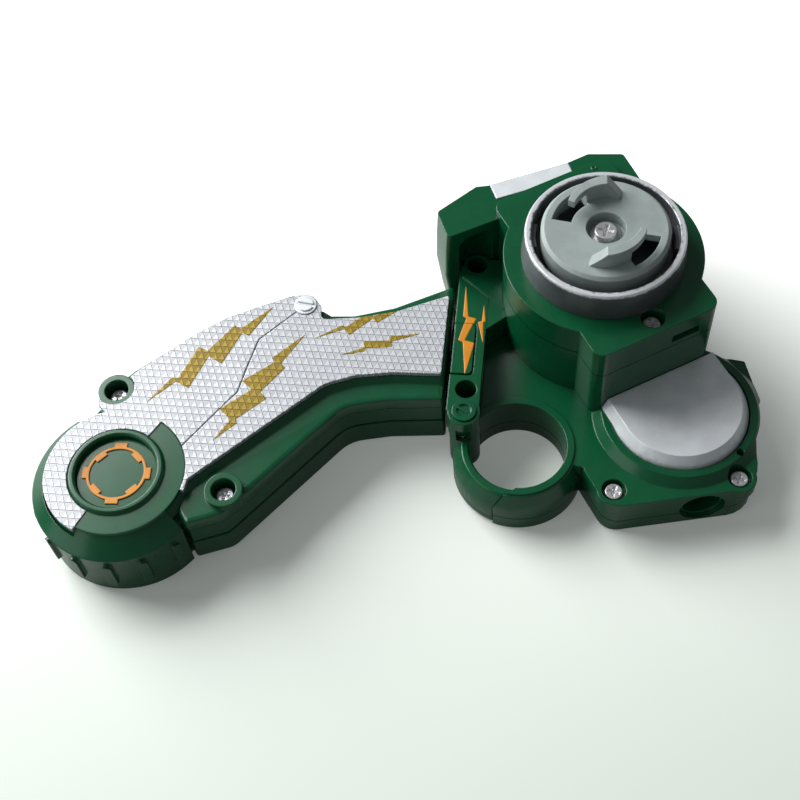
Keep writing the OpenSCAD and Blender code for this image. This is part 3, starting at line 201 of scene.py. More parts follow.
def round_edges(piece: bpy.types.Object, width: float, segments: int = 2) -> None:
    """Rounds the sharp edges of a moulding and evens out its shading.

    The full width is tried first, then narrower ones, until no face folds over.

    Args:
        piece: the object to change.
        width: the rounding's width in millimetres.
        segments: faces across the rounding.
    """
    sharp = piece.data.copy()
    skin = BVHTree.FromPolygons([v.co for v in sharp.vertices], [tuple(f.vertices) for f in sharp.polygons])
    for share, clamp in ((1.0, False), (0.5, False), (1.0, True)):
        apply_modifier(piece, "BEVEL", width=width * share * MM, segments=segments, limit_method="ANGLE",
                       angle_limit=math.radians(SHARP_ANGLE), use_clamp_overlap=clamp,
                       miter_outer="MITER_SHARP")
        folded = folded_area(piece, skin)
        if clamp or folded < FOLD_LIMIT * MM * MM:
            LOG.info("%s: rounded by %.2f mm%s", piece.name, width * share, ", clamped" if clamp else "")
            break
        piece.data = sharp.copy()
    join_flat_faces(piece)
    even_shading(piece)


def finish_piece(piece: bpy.types.Object, body: Body, material: bpy.types.Material,
                 nodes: Sequence[str]) -> bpy.types.Object:
    """Gives a finished piece its body and material, and hides the nodes that it stands for.

    Args:
        piece: the object.
        body: the body that it rides on.
        material: its material.
        nodes: the CAD nodes that it replaces.

    Returns:
        The same object.
    """
    piece.data.materials.clear()
    piece.data.materials.append(material)
    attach(piece, body.value)
    if nodes:
        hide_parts(*nodes)
    LOG.info("%s: %d faces on %s", piece.name, len(piece.data.polygons), body.value)
    return piece


# Node graph helpers


class Graph:
    """A short way to lay nodes into a node tree."""

    def __init__(self, tree: bpy.types.NodeTree) -> None:
        """Keeps the tree.

        Args:
            tree: the node tree to fill.
        """
        self.tree = tree

    def add(self, kind: str, **settings: object) -> bpy.types.Node:
        """Adds a node.

        Args:
            kind: the node's type name.
            settings: its properties.

        Returns:
            The node.
        """
        node = self.tree.nodes.new(kind)
        for key, value in settings.items():
            setattr(node, key, value)
        return node

    def feed(self, socket: bpy.types.NodeSocket, value: object) -> None:
        """Links an output to a socket, or sets the socket's value.

        Args:
            socket: the input socket.
            value: an output socket, a number or a tuple.
        """
        if isinstance(value, bpy.types.NodeSocket):
            self.tree.links.new(value, socket)
        else:
            socket.default_value = value

    def math(self, operation: str, *values: object, clamp: bool = False) -> bpy.types.NodeSocket:
        """A Math node.

        Args:
            operation: what it does.
            values: its inputs.
            clamp: keeps the result from 0 to 1.

        Returns:
            Its output.
        """
        node = self.add("ShaderNodeMath", operation=operation, use_clamp=clamp)
        for socket, value in zip(node.inputs, values):
            self.feed(socket, value)
        return node.outputs[0]

    def ramp(self, value: object, low: float, high: float, to_low: float = 0.0,
             to_high: float = 1.0) -> bpy.types.NodeSocket:
        """A clamped Map Range node.

        Args:
            value: the input.
            low: the input that gives to_low.
            high: the input that gives to_high.
            to_low: the result at low.
            to_high: the result at high.

        Returns:
            Its output.
        """
        node = self.add("ShaderNodeMapRange", interpolation_type="SMOOTHSTEP")
        for key, item in zip(("Value", "From Min", "From Max", "To Min", "To Max"),
                             (value, low, high, to_low, to_high)):
            self.feed(node.inputs[key], item)
        return node.outputs["Result"]

    def mix(self, share: object, first: object, second: object) -> bpy.types.NodeSocket:
        """A colour Mix node.

        Args:
            share: how much of the second colour shows.
            first: the first colour.
            second: the second colour.

        Returns:
            The mixed colour.
        """
        node = self.add("ShaderNodeMix", data_type="RGBA")
        self.feed(node.inputs[0], share)
        self.feed(node.inputs[6], first)
        self.feed(node.inputs[7], second)
        return node.outputs[2]

    def noise(self, vector: object, scale: float, detail: float = 2.0,
              rough: float = 0.5) -> bpy.types.NodeSocket:
        """A Noise Texture node.

        Args:
            vector: where it is read, in millimetres.
            scale: its scale per millimetre.
            detail: its octaves.
            rough: its roughness.

        Returns:
            Its value.
        """
        node = self.add("ShaderNodeTexNoise")
        self.feed(node.inputs["Vector"], vector)
        node.inputs["Scale"].default_value = scale
        node.inputs["Detail"].default_value = detail
        node.inputs["Roughness"].default_value = rough
        return node.outputs[0]


def new_group(name: str, inputs: Iterable[tuple[str, str, object]],
              outputs: Iterable[tuple[str, str]]
              ) -> tuple[bpy.types.NodeTree, Graph, bpy.types.Node, bpy.types.Node]:
    """An empty shader node group with named sockets.

    Args:
        name: the group's name.
        inputs: name, socket type and default of each input.
        outputs: name and socket type of each output.

    Returns:
        The group, its graph, its input node and its output node.
    """
    tree = bpy.data.node_groups.new(name, "ShaderNodeTree")
    for label, kind, value in inputs:
        socket = tree.interface.new_socket(name=label, in_out="INPUT", socket_type=kind)
        if value is not None:
            socket.default_value = value
    for label, kind in outputs:
        tree.interface.new_socket(name=label, in_out="OUTPUT", socket_type=kind)
    graph = Graph(tree)
    return tree, graph, graph.add("NodeGroupInput"), graph.add("NodeGroupOutput")


class Effects:
    """The shader node groups that several finishes share, each built once."""

    def __init__(self) -> None:
        """Builds every group."""
        self.grain = self._grain()
        self.triangles = self._triangles()
        self.wear_and_highlight = self._wear_and_highlight()

    def _grain(self) -> bpy.types.NodeTree:
        """The faint ripple, mottling and handling marks of a moulded surface.

        Returns:
            The group.
        """
        tree, g, start, end = new_group(
            "Moulded grain", [("Vector", "NodeSocketVector", None), ("Size", "NodeSocketFloat", 1.0)],
            [("Height", "NodeSocketFloat"), ("Mottle", "NodeSocketFloat"), ("Marks", "NodeSocketFloat")])
        place = g.add("ShaderNodeVectorMath", operation="SCALE")
        g.feed(place.inputs[0], start.outputs["Vector"])
        g.feed(place.inputs["Scale"], start.outputs["Size"])
        where = place.outputs[0]
        fine = g.noise(where, 3.2, 3.0, 0.6)
        broad = g.noise(where, 0.09, 2.0, 0.5)
        ripple = g.math("ADD", g.math("MULTIPLY", fine, 0.35), g.math("MULTIPLY", broad, 0.65))
        g.feed(end.inputs["Height"], ripple)
        g.feed(end.inputs["Mottle"], g.noise(where, 0.16, 4.0, 0.6))
        stretch = g.add("ShaderNodeMapping")
        g.feed(stretch.inputs["Vector"], where)
        stretch.inputs["Rotation"].default_value = (0.3, 0.5, 0.7)
        stretch.inputs["Scale"].default_value = (0.25, 2.6, 1.2)
        g.feed(end.inputs["Marks"], g.ramp(g.noise(stretch.outputs[0], 0.9, 5.0, 0.7), 0.60, 0.74))
        return tree

    def _triangles(self) -> bpy.types.NodeTree:
        """Rows of small raised triangles, all pointing one way.

        Returns:
            The group.
        """
        tree, g, start, end = new_group(
            "Raised triangles",
            [("Vector", "NodeSocketVector", None), ("Across", "NodeSocketFloat", 1.85),
             ("Along", "NodeSocketFloat", 2.0)],
            [("Height", "NodeSocketFloat"), ("Top", "NodeSocketFloat")])
        split = g.add("ShaderNodeSeparateXYZ")
        g.feed(split.inputs[0], start.outputs["Vector"])
        row = g.math("DIVIDE", split.outputs["Y"], start.outputs["Along"])
        column = g.math("SUBTRACT", g.math("DIVIDE", split.outputs["X"], start.outputs["Across"]),
                        g.math("MULTIPLY", row, 0.5))
        a = g.math("FRACT", row)
        b = g.math("FRACT", column)
        c = g.math("SUBTRACT", g.math("SUBTRACT", 1.0, a), b)
        inside = g.math("MINIMUM", g.math("MINIMUM", a, b), c)
        g.feed(end.inputs["Height"], g.ramp(inside, 0.0, 0.07))
        g.feed(end.inputs["Top"], g.ramp(inside, -0.05, 0.02))
        return tree

    def _wear_and_highlight(self) -> bpy.types.NodeTree:
        """Scuffs on a round rim of a given radius and height, with a painted highlight all along the rim.

        Returns:
            The group.
        """
        tree, g, start, end = new_group(
            "Rim wear and highlight",
            [("Vector", "NodeSocketVector", None), ("Radius", "NodeSocketFloat", 20.0),
             ("Height", "NodeSocketFloat", 46.0), ("Reach", "NodeSocketFloat", 1.0)],
            [("Mask", "NodeSocketFloat")])
        split = g.add("ShaderNodeSeparateXYZ")
        g.feed(split.inputs[0], start.outputs["Vector"])
        x, y, z = split.outputs
        radius = g.math("SQRT", g.math("ADD", g.math("MULTIPLY", x, x), g.math("MULTIPLY", y, y)))
        off_r = g.math("ABSOLUTE", g.math("SUBTRACT", radius, start.outputs["Radius"]))
        off_z = g.math("ABSOLUTE", g.math("SUBTRACT", z, start.outputs["Height"]))
        off = g.math("DIVIDE", g.math("ADD", off_r, off_z), start.outputs["Reach"])
        # Painted highlight: a band close to the rim's edge is lit all the way round; the noise below breaks
        # it into scuffs.
        near = g.math("SUBTRACT", 1.0, off, clamp=True)
        spots = g.noise(start.outputs["Vector"], 0.55, 6.0, 0.75)
        g.feed(end.inputs["Mask"], g.ramp(g.math("ADD", near, g.math("MULTIPLY", spots, 0.9)), 0.95, 1.25))
        return tree


@dataclass(frozen=True)
class Finish:
    """A moulded or plated finish with grain, mottling and fine marks.

    Attributes:
        name: the material's name.
        colour: its linear colour.
        roughness: the least roughness.
        rough_span: how much rougher its marks are.
        metallic: how metallic it is.
        bump: the grain's height in millimetres.
        mottle: how far the colour varies.
        grain_size: scale of the grain.
        edge: how wide the light rounds the sharp edges, in millimetres.
        seams: heights of the parting lines, drawn as painted shade, in millimetres.
        seam_width: half the width of a parting line.
    """

    name: str
    colour: Colour
    roughness: float = 0.3
    rough_span: float = 0.12
    metallic: float = 0.0
    bump: float = 0.010
    mottle: float = 0.06
    grain_size: float = 1.0
    edge: float = 0.42
    seams: tuple[float, ...] = ()
    seam_width: float = 0.17

    def start(self) -> tuple[bpy.types.Material, Graph, bpy.types.Node, bpy.types.NodeSocket]:
        """An empty material with its shader and a position in millimetres.

        Returns:
            The material, its graph, the Principled node and the position.
        """
        material = bpy.data.materials.new(self.name)
        material.use_nodes = True
        g = Graph(material.node_tree)
        shader = next(n for n in g.tree.nodes if n.type == "BSDF_PRINCIPLED")
        place = g.add("ShaderNodeTexCoord")
        scale = g.add("ShaderNodeMapping")
        scale.inputs["Scale"].default_value = (1 / MM,) * 3
        g.feed(scale.inputs["Vector"], place.outputs["Object"])
        shader.inputs["Metallic"].default_value = self.metallic
        return material, g, shader, scale.outputs[0]

    def grain_node(self, g: Graph, effects: Effects, where: bpy.types.NodeSocket) -> bpy.types.Node:
        """The shared grain at this finish's scale.

        Args:
            g: the material's graph.
            effects: the shared groups.
            where: the position in millimetres.

        Returns:
            The group's node.
        """
        grain = g.add("ShaderNodeGroup", node_tree=effects.grain)
        g.feed(grain.inputs["Vector"], where)
        grain.inputs["Size"].default_value = self.grain_size
        return grain

    def marked(self, g: Graph, share: bpy.types.NodeSocket) -> bpy.types.NodeSocket:
        """The roughness, from the least at 0 to that of its marks at 1.

        Args:
            g: the material's graph.
            share: how marked the surface is.

        Returns:
            The roughness.
        """
        return g.ramp(share, 0.0, 1.0, self.roughness, self.roughness + self.rough_span)

    def relief_node(self, g: Graph, distance: float) -> bpy.types.Node:
        """A bump over edges that the light sees as rounded.

        Args:
            g: the material's graph.
            distance: the bump's height in millimetres.

        Returns:
            The bump node.
        """
        rounded = g.add("ShaderNodeBevel", samples=6)
        rounded.inputs["Radius"].default_value = self.edge * MM
        bump = g.add("ShaderNodeBump")
        bump.inputs["Distance"].default_value = distance * MM
        bump.inputs["Strength"].default_value = 1.0
        g.feed(bump.inputs["Normal"], rounded.outputs[0])
        return bump

    def shades(self, g: Graph, mottle: bpy.types.NodeSocket,
               colour: Optional[Colour] = None) -> bpy.types.NodeSocket:
        """The colour with its mottling.

        Args:
            g: the material's graph.
            mottle: the mottling's value.
            colour: another colour than the finish's own.

        Returns:
            The colour.
        """
        base = colour or self.colour
        dark = tuple(c * (1 - self.mottle) for c in base) + (1.0,)
        light = tuple(min(1.0, c * (1 + self.mottle)) for c in base) + (1.0,)
        return g.mix(g.ramp(mottle, 0.35, 0.65), dark, light)

    def seam_shade_mask(self, g: Graph, where: bpy.types.NodeSocket) -> bpy.types.NodeSocket:
        """How far a point of an upright wall lies in a parting line, where painted shade stands in for the
        groove between shells.

        Args:
            g: the material's graph.
            where: the position in millimetres.

        Returns:
            The mask.
        """
        split = g.add("ShaderNodeSeparateXYZ")
        g.feed(split.inputs[0], where)
        gaps = [g.math("ABSOLUTE", g.math("SUBTRACT", split.outputs["Z"], z)) for z in self.seams]
        near = gaps[0]
        for gap in gaps[1:]:
            near = g.math("MINIMUM", near, gap)
        face = g.add("ShaderNodeNewGeometry")
        tilt = g.add("ShaderNodeSeparateXYZ")
        g.feed(tilt.inputs[0], face.outputs["True Normal"])
        upright = g.ramp(g.math("ABSOLUTE", tilt.outputs["Z"]), 0.4, 0.6, 1.0, 0.0)
        line = g.ramp(near, self.seam_width * 0.5, self.seam_width, 1.0, 0.0)
        return g.math("MULTIPLY", line, upright)

    def build(self, effects: Effects) -> bpy.types.Material:
        """Builds the material.

        Args:
            effects: the shared groups.

        Returns:
            The material.
        """
        material, g, shader, where = self.start()
        grain = self.grain_node(g, effects, where)
        colour = self.shades(g, grain.outputs["Mottle"])
        if self.seams:
            seam_shade = self.seam_shade_mask(g, where)
            # Painted shade: each parting line is darkened almost to black and loses its gloss, standing in
            # for the shaded groove between the shells.
            colour = g.mix(seam_shade, colour, tuple(c * 0.06 for c in self.colour) + (1.0,))
            g.feed(shader.inputs["Specular IOR Level"], g.ramp(seam_shade, 0.0, 1.0, 0.5, 0.0))
        g.feed(shader.inputs["Base Color"], colour)
        g.feed(shader.inputs["Roughness"], self.marked(g, grain.outputs["Marks"]))
        bump = self.relief_node(g, self.bump)
        g.feed(bump.inputs["Height"], grain.outputs["Height"])
        g.feed(shader.inputs["Normal"], bump.outputs[0])
        return material


@dataclass(frozen=True)
class ReliefFinish(Finish):
    """A painted cover with rows of small raised triangles, the ground between them darkened as painted shade.

    Attributes:
        across: width of a triangle in millimetres.
        along: pitch of the rows in millimetres.
        turn: angle of the rows in degrees.
        relief: height of the triangles in millimetres.
        valley_shade: how dark the ground between the triangles is painted, as painted shade in those hollows.
    """

    across: float = 1.85
    along: float = 2.1
    turn: float = -31.5
    relief: float = 0.30
    valley_shade: float = 0.42

    def build(self, effects: Effects) -> bpy.types.Material:
        """Builds the material.

        Args:
            effects: the shared groups.

        Returns:
            The material.
        """
        material, g, shader, where = self.start()
        grain = self.grain_node(g, effects, where)
        turned = g.add("ShaderNodeMapping")
        turned.inputs["Rotation"].default_value = (0, 0, -math.radians(self.turn))
        g.feed(turned.inputs["Vector"], where)
        grid = g.add("ShaderNodeGroup", node_tree=effects.triangles)
        g.feed(grid.inputs["Vector"], turned.outputs[0])
        grid.inputs["Across"].default_value = self.across
        grid.inputs["Along"].default_value = self.along
        top = self.shades(g, grain.outputs["Mottle"])
        # Painted shade: the ground between the raised triangles is darkened, standing in for the shade that
        # falls in those hollows.
        low = self.shades(g, grain.outputs["Mottle"], tuple(c * self.valley_shade for c in self.colour))
        g.feed(shader.inputs["Base Color"], g.mix(grid.outputs["Top"], low, top))
        g.feed(shader.inputs["Roughness"],
               g.ramp(grid.outputs["Top"], 0.0, 1.0, self.roughness + self.rough_span, self.roughness))
        bump = self.relief_node(g, self.relief)
        height = g.math("ADD", grid.outputs["Height"], g.math("MULTIPLY", grain.outputs["Height"], 0.05))
        g.feed(bump.inputs["Height"], height)
        g.feed(shader.inputs["Normal"], bump.outputs[0])
        return material


@dataclass(frozen=True)
class RimFinish(Finish):
    """A satin painted ring whose rim is scuffed and carries a painted highlight.

    Attributes:
        rim_r: radius of the worn and highlighted edge in millimetres.
        rim_z: height of the worn and highlighted edge in millimetres.
        reach: how far the scuffs and the painted highlight spread in millimetres.
        rim_highlight_and_wear: colour of the scuffed edge and its painted highlight.
    """

    rim_r: float = 19.6
    rim_z: float = 46.6
    reach: float = 3.0
    rim_highlight_and_wear: Colour = (0.78, 0.80, 0.83)

    def build(self, effects: Effects) -> bpy.types.Material:
        """Builds the material.

        Args:
            effects: the shared groups.

        Returns:
            The material.
        """
        material, g, shader, where = self.start()
        grain = self.grain_node(g, effects, where)
        wear_and_highlight = g.add("ShaderNodeGroup", node_tree=effects.wear_and_highlight)
        g.feed(wear_and_highlight.inputs["Vector"], where)
        wear_and_highlight.inputs["Radius"].default_value = self.rim_r
        wear_and_highlight.inputs["Height"].default_value = self.rim_z
        wear_and_highlight.inputs["Reach"].default_value = self.reach
        paint = self.shades(g, grain.outputs["Mottle"])
        # Painted highlight and wear: the rim is painted bright where its top would catch the light, broken by
        # scuffs.
        g.feed(shader.inputs["Base Color"], g.mix(wear_and_highlight.outputs["Mask"], paint, self.rim_highlight_and_wear + (1.0,)))
        g.feed(shader.inputs["Roughness"], self.marked(g, grain.outputs["Marks"]))
        bump = self.relief_node(g, self.bump)
        height = g.math("ADD", grain.outputs["Height"], g.math("MULTIPLY", wear_and_highlight.outputs["Mask"], 0.8))
        g.feed(bump.inputs["Height"], height)
        g.feed(shader.inputs["Normal"], bump.outputs[0])
        return material


class Palette:
    """Every finish of the launcher, built once."""

    def __init__(self, effects: Effects) -> None:
        """Builds the materials.

        Args:
            effects: the shared groups.
        """
        green = (0.0030, 0.082, 0.030)
        gloss = Finish("Glossy green", green, 0.22, 0.07, bump=0.012, mottle=0.05)
        self.green = gloss.build(effects)
        # These copies paint shade along their parting lines.
        self.head_green = replace(gloss, name="Head green", seams=(HEAD_SEAM,)).build(effects)
        self.base_green = replace(gloss, name="Base green", seams=(BASE_SEAM,)).build(effects)
        self.gate_green = replace(gloss, name="Gate green", seams=(GATE_SEAM,)).build(effects)
        self.grip_green = replace(gloss, name="Grip green", seams=GRIP_SEAMS).build(effects)
        self.deep_green = Finish("Satin green", (0.0027, 0.082, 0.030), 0.25, 0.07, bump=0.014,
                                 mottle=0.05).build(effects)
        self.cover = ReliefFinish("Silver relief", (0.68, 0.705, 0.74), 0.32, 0.14, 0.22, mottle=0.04,
                                  relief=0.34, valley_shade=0.72).build(effects)
        self.cover_gold = ReliefFinish("Gold print", (0.40, 0.27, 0.014), 0.36, 0.14, 0.15, mottle=0.06,
                                       relief=0.34, valley_shade=0.62).build(effects)
        self.silver = Finish("Satin silver", (0.80, 0.84, 0.87), 0.36, 0.12, 0.20, 0.012, 0.05).build(effects)
        self.collar = RimFinish("Worn collar with painted highlight", (0.105, 0.115, 0.125), 0.32, 0.15, 0.38, 0.015,
                                0.10).build(effects)
        self.hub = Finish("Grey hub", (0.33, 0.385, 0.375), 0.40, 0.14, 0.0, 0.016, 0.07).build(effects)
        self.screw = Finish("Plated screw", (0.80, 0.80, 0.82), 0.26, 0.16, 0.70, 0.012, 0.08,
                            grain_size=2.0).build(effects)
        self.shaft = Finish("Ground shaft", (0.42, 0.43, 0.44), 0.34, 0.15, 0.8, 0.008, 0.05,
                            grain_size=3.0).build(effects)
        self.natural = Finish("Natural plastic", (0.62, 0.61, 0.56), 0.45, 0.10, bump=0.015,
                              mottle=0.05).build(effects)
        self.orange = Finish("Orange paint", (0.66, 0.240, 0.006), 0.42, 0.12, bump=0.012,
                             mottle=0.07).build(effects)


# Sub-assemblies


@dataclass
class Assembly:
    """A group of CAD nodes that are dressed alike.

    Attributes:
        palette: the finishes.
    """

    palette: Palette

    def soften(self, node: str, body: Body, slot: Slot, material: bpy.types.Material,
               width: float) -> bpy.types.Object:
        """Replaces a node by a copy with rounded edges.

        Args:
            node: the CAD node.
            body: the body that it rides on.
            slot: its slot; not used.
            material: its material.
            width: the rounding's width in millimetres.

        Returns:
            The piece.
        """
        piece = copy_of_node(node, node + "_moulding")
        round_edges(piece, width)
        return finish_piece(piece, body, material, [node])

    def keep(self, node: str, material: bpy.types.Material) -> None:
        """Keeps a CAD node as it is and gives it a material.

        Args:
            node: the CAD node.
            material: its material.
        """
        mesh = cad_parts[node].data
        mesh.materials.clear()
        mesh.materials.append(material)
        LOG.info("%s: kept, %s", node, material.name)


@dataclass
class Bolt:
    """A plain zigzag flash, drawn as a ribbon whose cross edges stay parallel.

    Attributes:
        start: where its tip is, in millimetres.
        turn: the direction that it runs in, in degrees.
        steps: along, across and width of each cross edge, in millimetres from the tip.
    """

    start: tuple[float, float]
    turn: float
    steps: Sequence[tuple[float, float, float]]

    def cutter(self, name: str, z0: float, z1: float) -> bpy.types.Object:
        """An upright prism with the flash's outline.

        Args:
            name: its name.
            z0: its foot in millimetres.
            z1: its top in millimetres.

        Returns:
            The prism.
        """
        angle = math.radians(self.turn)
        ahead = Vector((math.cos(angle), math.sin(angle), 0))
        side = Vector((-math.sin(angle), math.cos(angle), 0))
        tip = Vector((self.start[0], self.start[1], z0))
        width = 0.16
        bpy.ops.object.select_all(action="DESELECT")
        bpy.ops.mesh.primitive_plane_add(size=width * MM, location=tip * MM, rotation=(0, 0, angle))
        prism = bpy.context.object
        prism.name = name
        bpy.ops.object.mode_set(mode="EDIT")
        bpy.ops.mesh.select_all(action="DESELECT")
        bpy.ops.mesh.select_mode(type="EDGE")
        bpy.ops.object.mode_set(mode="OBJECT")
        world = prism.matrix_world
        for edge in prism.data.edges:
            middle = sum(((world @ prism.data.vertices[i].co) for i in edge.vertices), Vector()) / 2
            edge.select = (middle - tip * MM).dot(ahead) > width * MM * 0.4
        bpy.ops.object.mode_set(mode="EDIT")
        at = tip * MM + ahead * width * MM / 2
        for along, across, wide in self.steps:
            to = (tip + ahead * along + side * across) * MM
            bpy.ops.mesh.extrude_region_move(TRANSFORM_OT_translate={"value": to - at})
            ratio = wide / width
            bpy.ops.transform.resize(value=(ratio, ratio, ratio), center_override=to)
            at, width = to, wide
        bpy.ops.mesh.select_all(action="SELECT")
        bpy.ops.mesh.extrude_region_move(TRANSFORM_OT_translate={"value": (0, 0, (z1 - z0) * MM)})
        bpy.ops.mesh.select_all(action="SELECT")
        bpy.ops.mesh.normals_make_consistent(inside=False)
        bpy.ops.object.mode_set(mode="OBJECT")
        bpy.ops.object.transform_apply(location=True, rotation=True, scale=True)
        return prism


@dataclass
class Print:
    """Zigzag flashes that are printed on a moulding.

    Attributes:
        bolts: the flashes.
        z0: a height under the printed face, in millimetres.
        z1: a height over it.
        film: the paint's thickness over the face.
    """

    bolts: Sequence[Bolt]
    z0: float
    z1: float
    film: float = 0.02

    def stamp(self, node: str, name: str) -> bpy.types.Object:
        """Lays the flashes on a moulding as a film of paint, cut to its face and its gaps.

        Args:
            node: the moulding's CAD node.
            name: the film's name.

        Returns:
            The films as one object.
        """
        prisms = [bolt.cutter(f"{name}_{k}", self.z0, self.z1) for k, bolt in enumerate(self.bolts)]
        select_only(*prisms)
        if len(prisms) > 1:
            bpy.ops.object.join()
        cutter = bpy.context.object
        paint = copy_of_node(node, name)
        apply_modifier(paint, "BOOLEAN", operation="INTERSECT", object=cutter, solver="EXACT")
        bpy.data.objects.remove(cutter)
        select_only(paint)
        bpy.ops.object.mode_set(mode="EDIT")
        bpy.ops.mesh.select_all(action="SELECT")
        bpy.ops.transform.translate(value=(0, 0, self.film * MM))
        bpy.ops.object.mode_set(mode="OBJECT")
        even_shading(paint)
        return paint


@dataclass
class Head(Assembly):
    """The round head with its collar, shells, strip way and rear box.

    Attributes:
        shell_edge: rounding of the shells in millimetres.
        ring_edge: rounding of the collar.
        plate_edge: rounding of the silver strip.
    """

    shell_edge: float = 0.35
    ring_edge: float = 0.22
    plate_edge: float = 0.12

    def build(self) -> None:
        """Builds the head."""
        p = self.palette
        self.soften("head_lower_shell", Body.FIXED, Slot.GREEN, p.head_green, self.shell_edge)
        self.soften("head_upper_shell", Body.FIXED, Slot.GREEN, p.head_green, self.shell_edge)
        self.soften("rear_box", Body.FIXED, Slot.GREEN, p.green, self.shell_edge)
        self.soften("collar_ring", Body.FIXED, Slot.COLLAR, p.collar, self.ring_edge)
        self.soften("rear_strip", Body.FIXED, Slot.SILVER, p.silver, self.plate_edge)
        self.soften("head_screws", Body.FIXED, Slot.SCREW, p.screw, 0.08)


@dataclass
class Hub(Assembly):
    """The turning disc with its prongs, washer and screw.

    Attributes:
        edge: rounding of the disc's edges in millimetres.
    """

    edge: float = 0.25

    def build(self) -> None:
        """Builds the hub."""
        p = self.palette
        self.soften("hub_disc", Body.HUB, Slot.GREY, p.hub, self.edge)
        self.soften("hub_screw", Body.HUB, Slot.SCREW, p.screw, 0.08)
        # Painted shade: the washer takes the darker shaft steel so that it reads as shaded in its recess.
        self.keep("hub_washer", p.shaft)
        self.keep("hub_shaft", p.shaft)


@dataclass
class Drive(Assembly):
    """What turns inside the head: pinion, ratchet, pawls and bearings."""

    def build(self) -> None:
        """Dresses the inner pieces."""
        p = self.palette
        for node in ("bearing_bridge", "lower_bush", "upper_bush", "strip_channel", "pawl_carrier",
                     "drive_pinion", "ratchet_wheel"):
            self.keep(node, p.natural)
        for node in ("pawl_a", "pawl_b"):
            self.keep(node, p.orange)
        for node in ("pawl_springs", "gate_spring", "latch_spring"):
            self.keep(node, p.screw)


@dataclass
class Base(Assembly):
    """The lobed base with the thumb plate, peg socket and screws.

    Attributes:
        shell_edge: rounding of the shells in millimetres.
        plate_edge: rounding of the thumb plate.
    """

    shell_edge: float = 0.40
    plate_edge: float = 0.30

    def build(self) -> None:
        """Builds the base."""
        p = self.palette
        self.soften("base_bottom_shell", Body.FIXED, Slot.GREEN, p.base_green, self.shell_edge)
        self.soften("base_top_shell", Body.FIXED, Slot.GREEN, p.base_green, self.shell_edge)
        self.soften("thumb_plate", Body.FIXED, Slot.SILVER, p.silver, self.plate_edge)
        self.soften("peg_socket", Body.FIXED, Slot.GREEN, p.green, 0.20)
        self.soften("base_screws", Body.FIXED, Slot.SCREW, p.screw, 0.08)


@dataclass
class Connector(Assembly):
    """The bar between head and grip, with its latch button, screws and ring gate.

    Attributes:
        edge: rounding of the mouldings in millimetres.
        flash: the orange flash over bar and button.
    """

    edge: float = 0.30
    flash: Print = field(default_factory=lambda: Print(
        [Bolt((-29.6, 18.6), 238.5, [(9.6, 0.7, 1.4), (10.2, 2.2, 2.6), (17.4, 0.2, 1.7), (18.1, 2.1, 3.0),
                                     (27.8, 1.9, 0.2)]),
         Bolt((-28.2, 10.9), 238.5, [(5.0, 0.3, 1.0), (5.4, -0.5, 1.4), (11.6, 0.5, 0.2)])], 20.6, 21.9))

    def build(self) -> None:
        """Builds the connector."""
        p = self.palette
        bar = copy_of_node("connector_bar", "connector_bar_moulding")
        round_edges(bar, self.edge)
        print_on_bar = self.flash.stamp("connector_bar", "connector_bar_flash")
        finish_piece(bar, Body.FIXED, p.green, ["connector_bar"])
        finish_piece(print_on_bar, Body.FIXED, p.orange, [])
        button = copy_of_node("latch_button", "latch_button_moulding")
        round_edges(button, self.edge)
        print_on_button = self.flash.stamp("latch_button", "latch_button_flash")
        finish_piece(button, Body.LATCH, p.green, ["latch_button"])
        finish_piece(print_on_button, Body.LATCH, p.orange, [])
        self.soften("bar_screws", Body.FIXED, Slot.SCREW, p.screw, 0.08)
        self.keep("gate_pin", p.green)
        self.soften("gate_upper_half", Body.GATE, Slot.GREEN, p.gate_green, self.edge)
        self.soften("gate_lower_half", Body.GATE, Slot.GREEN, p.gate_green, self.edge)


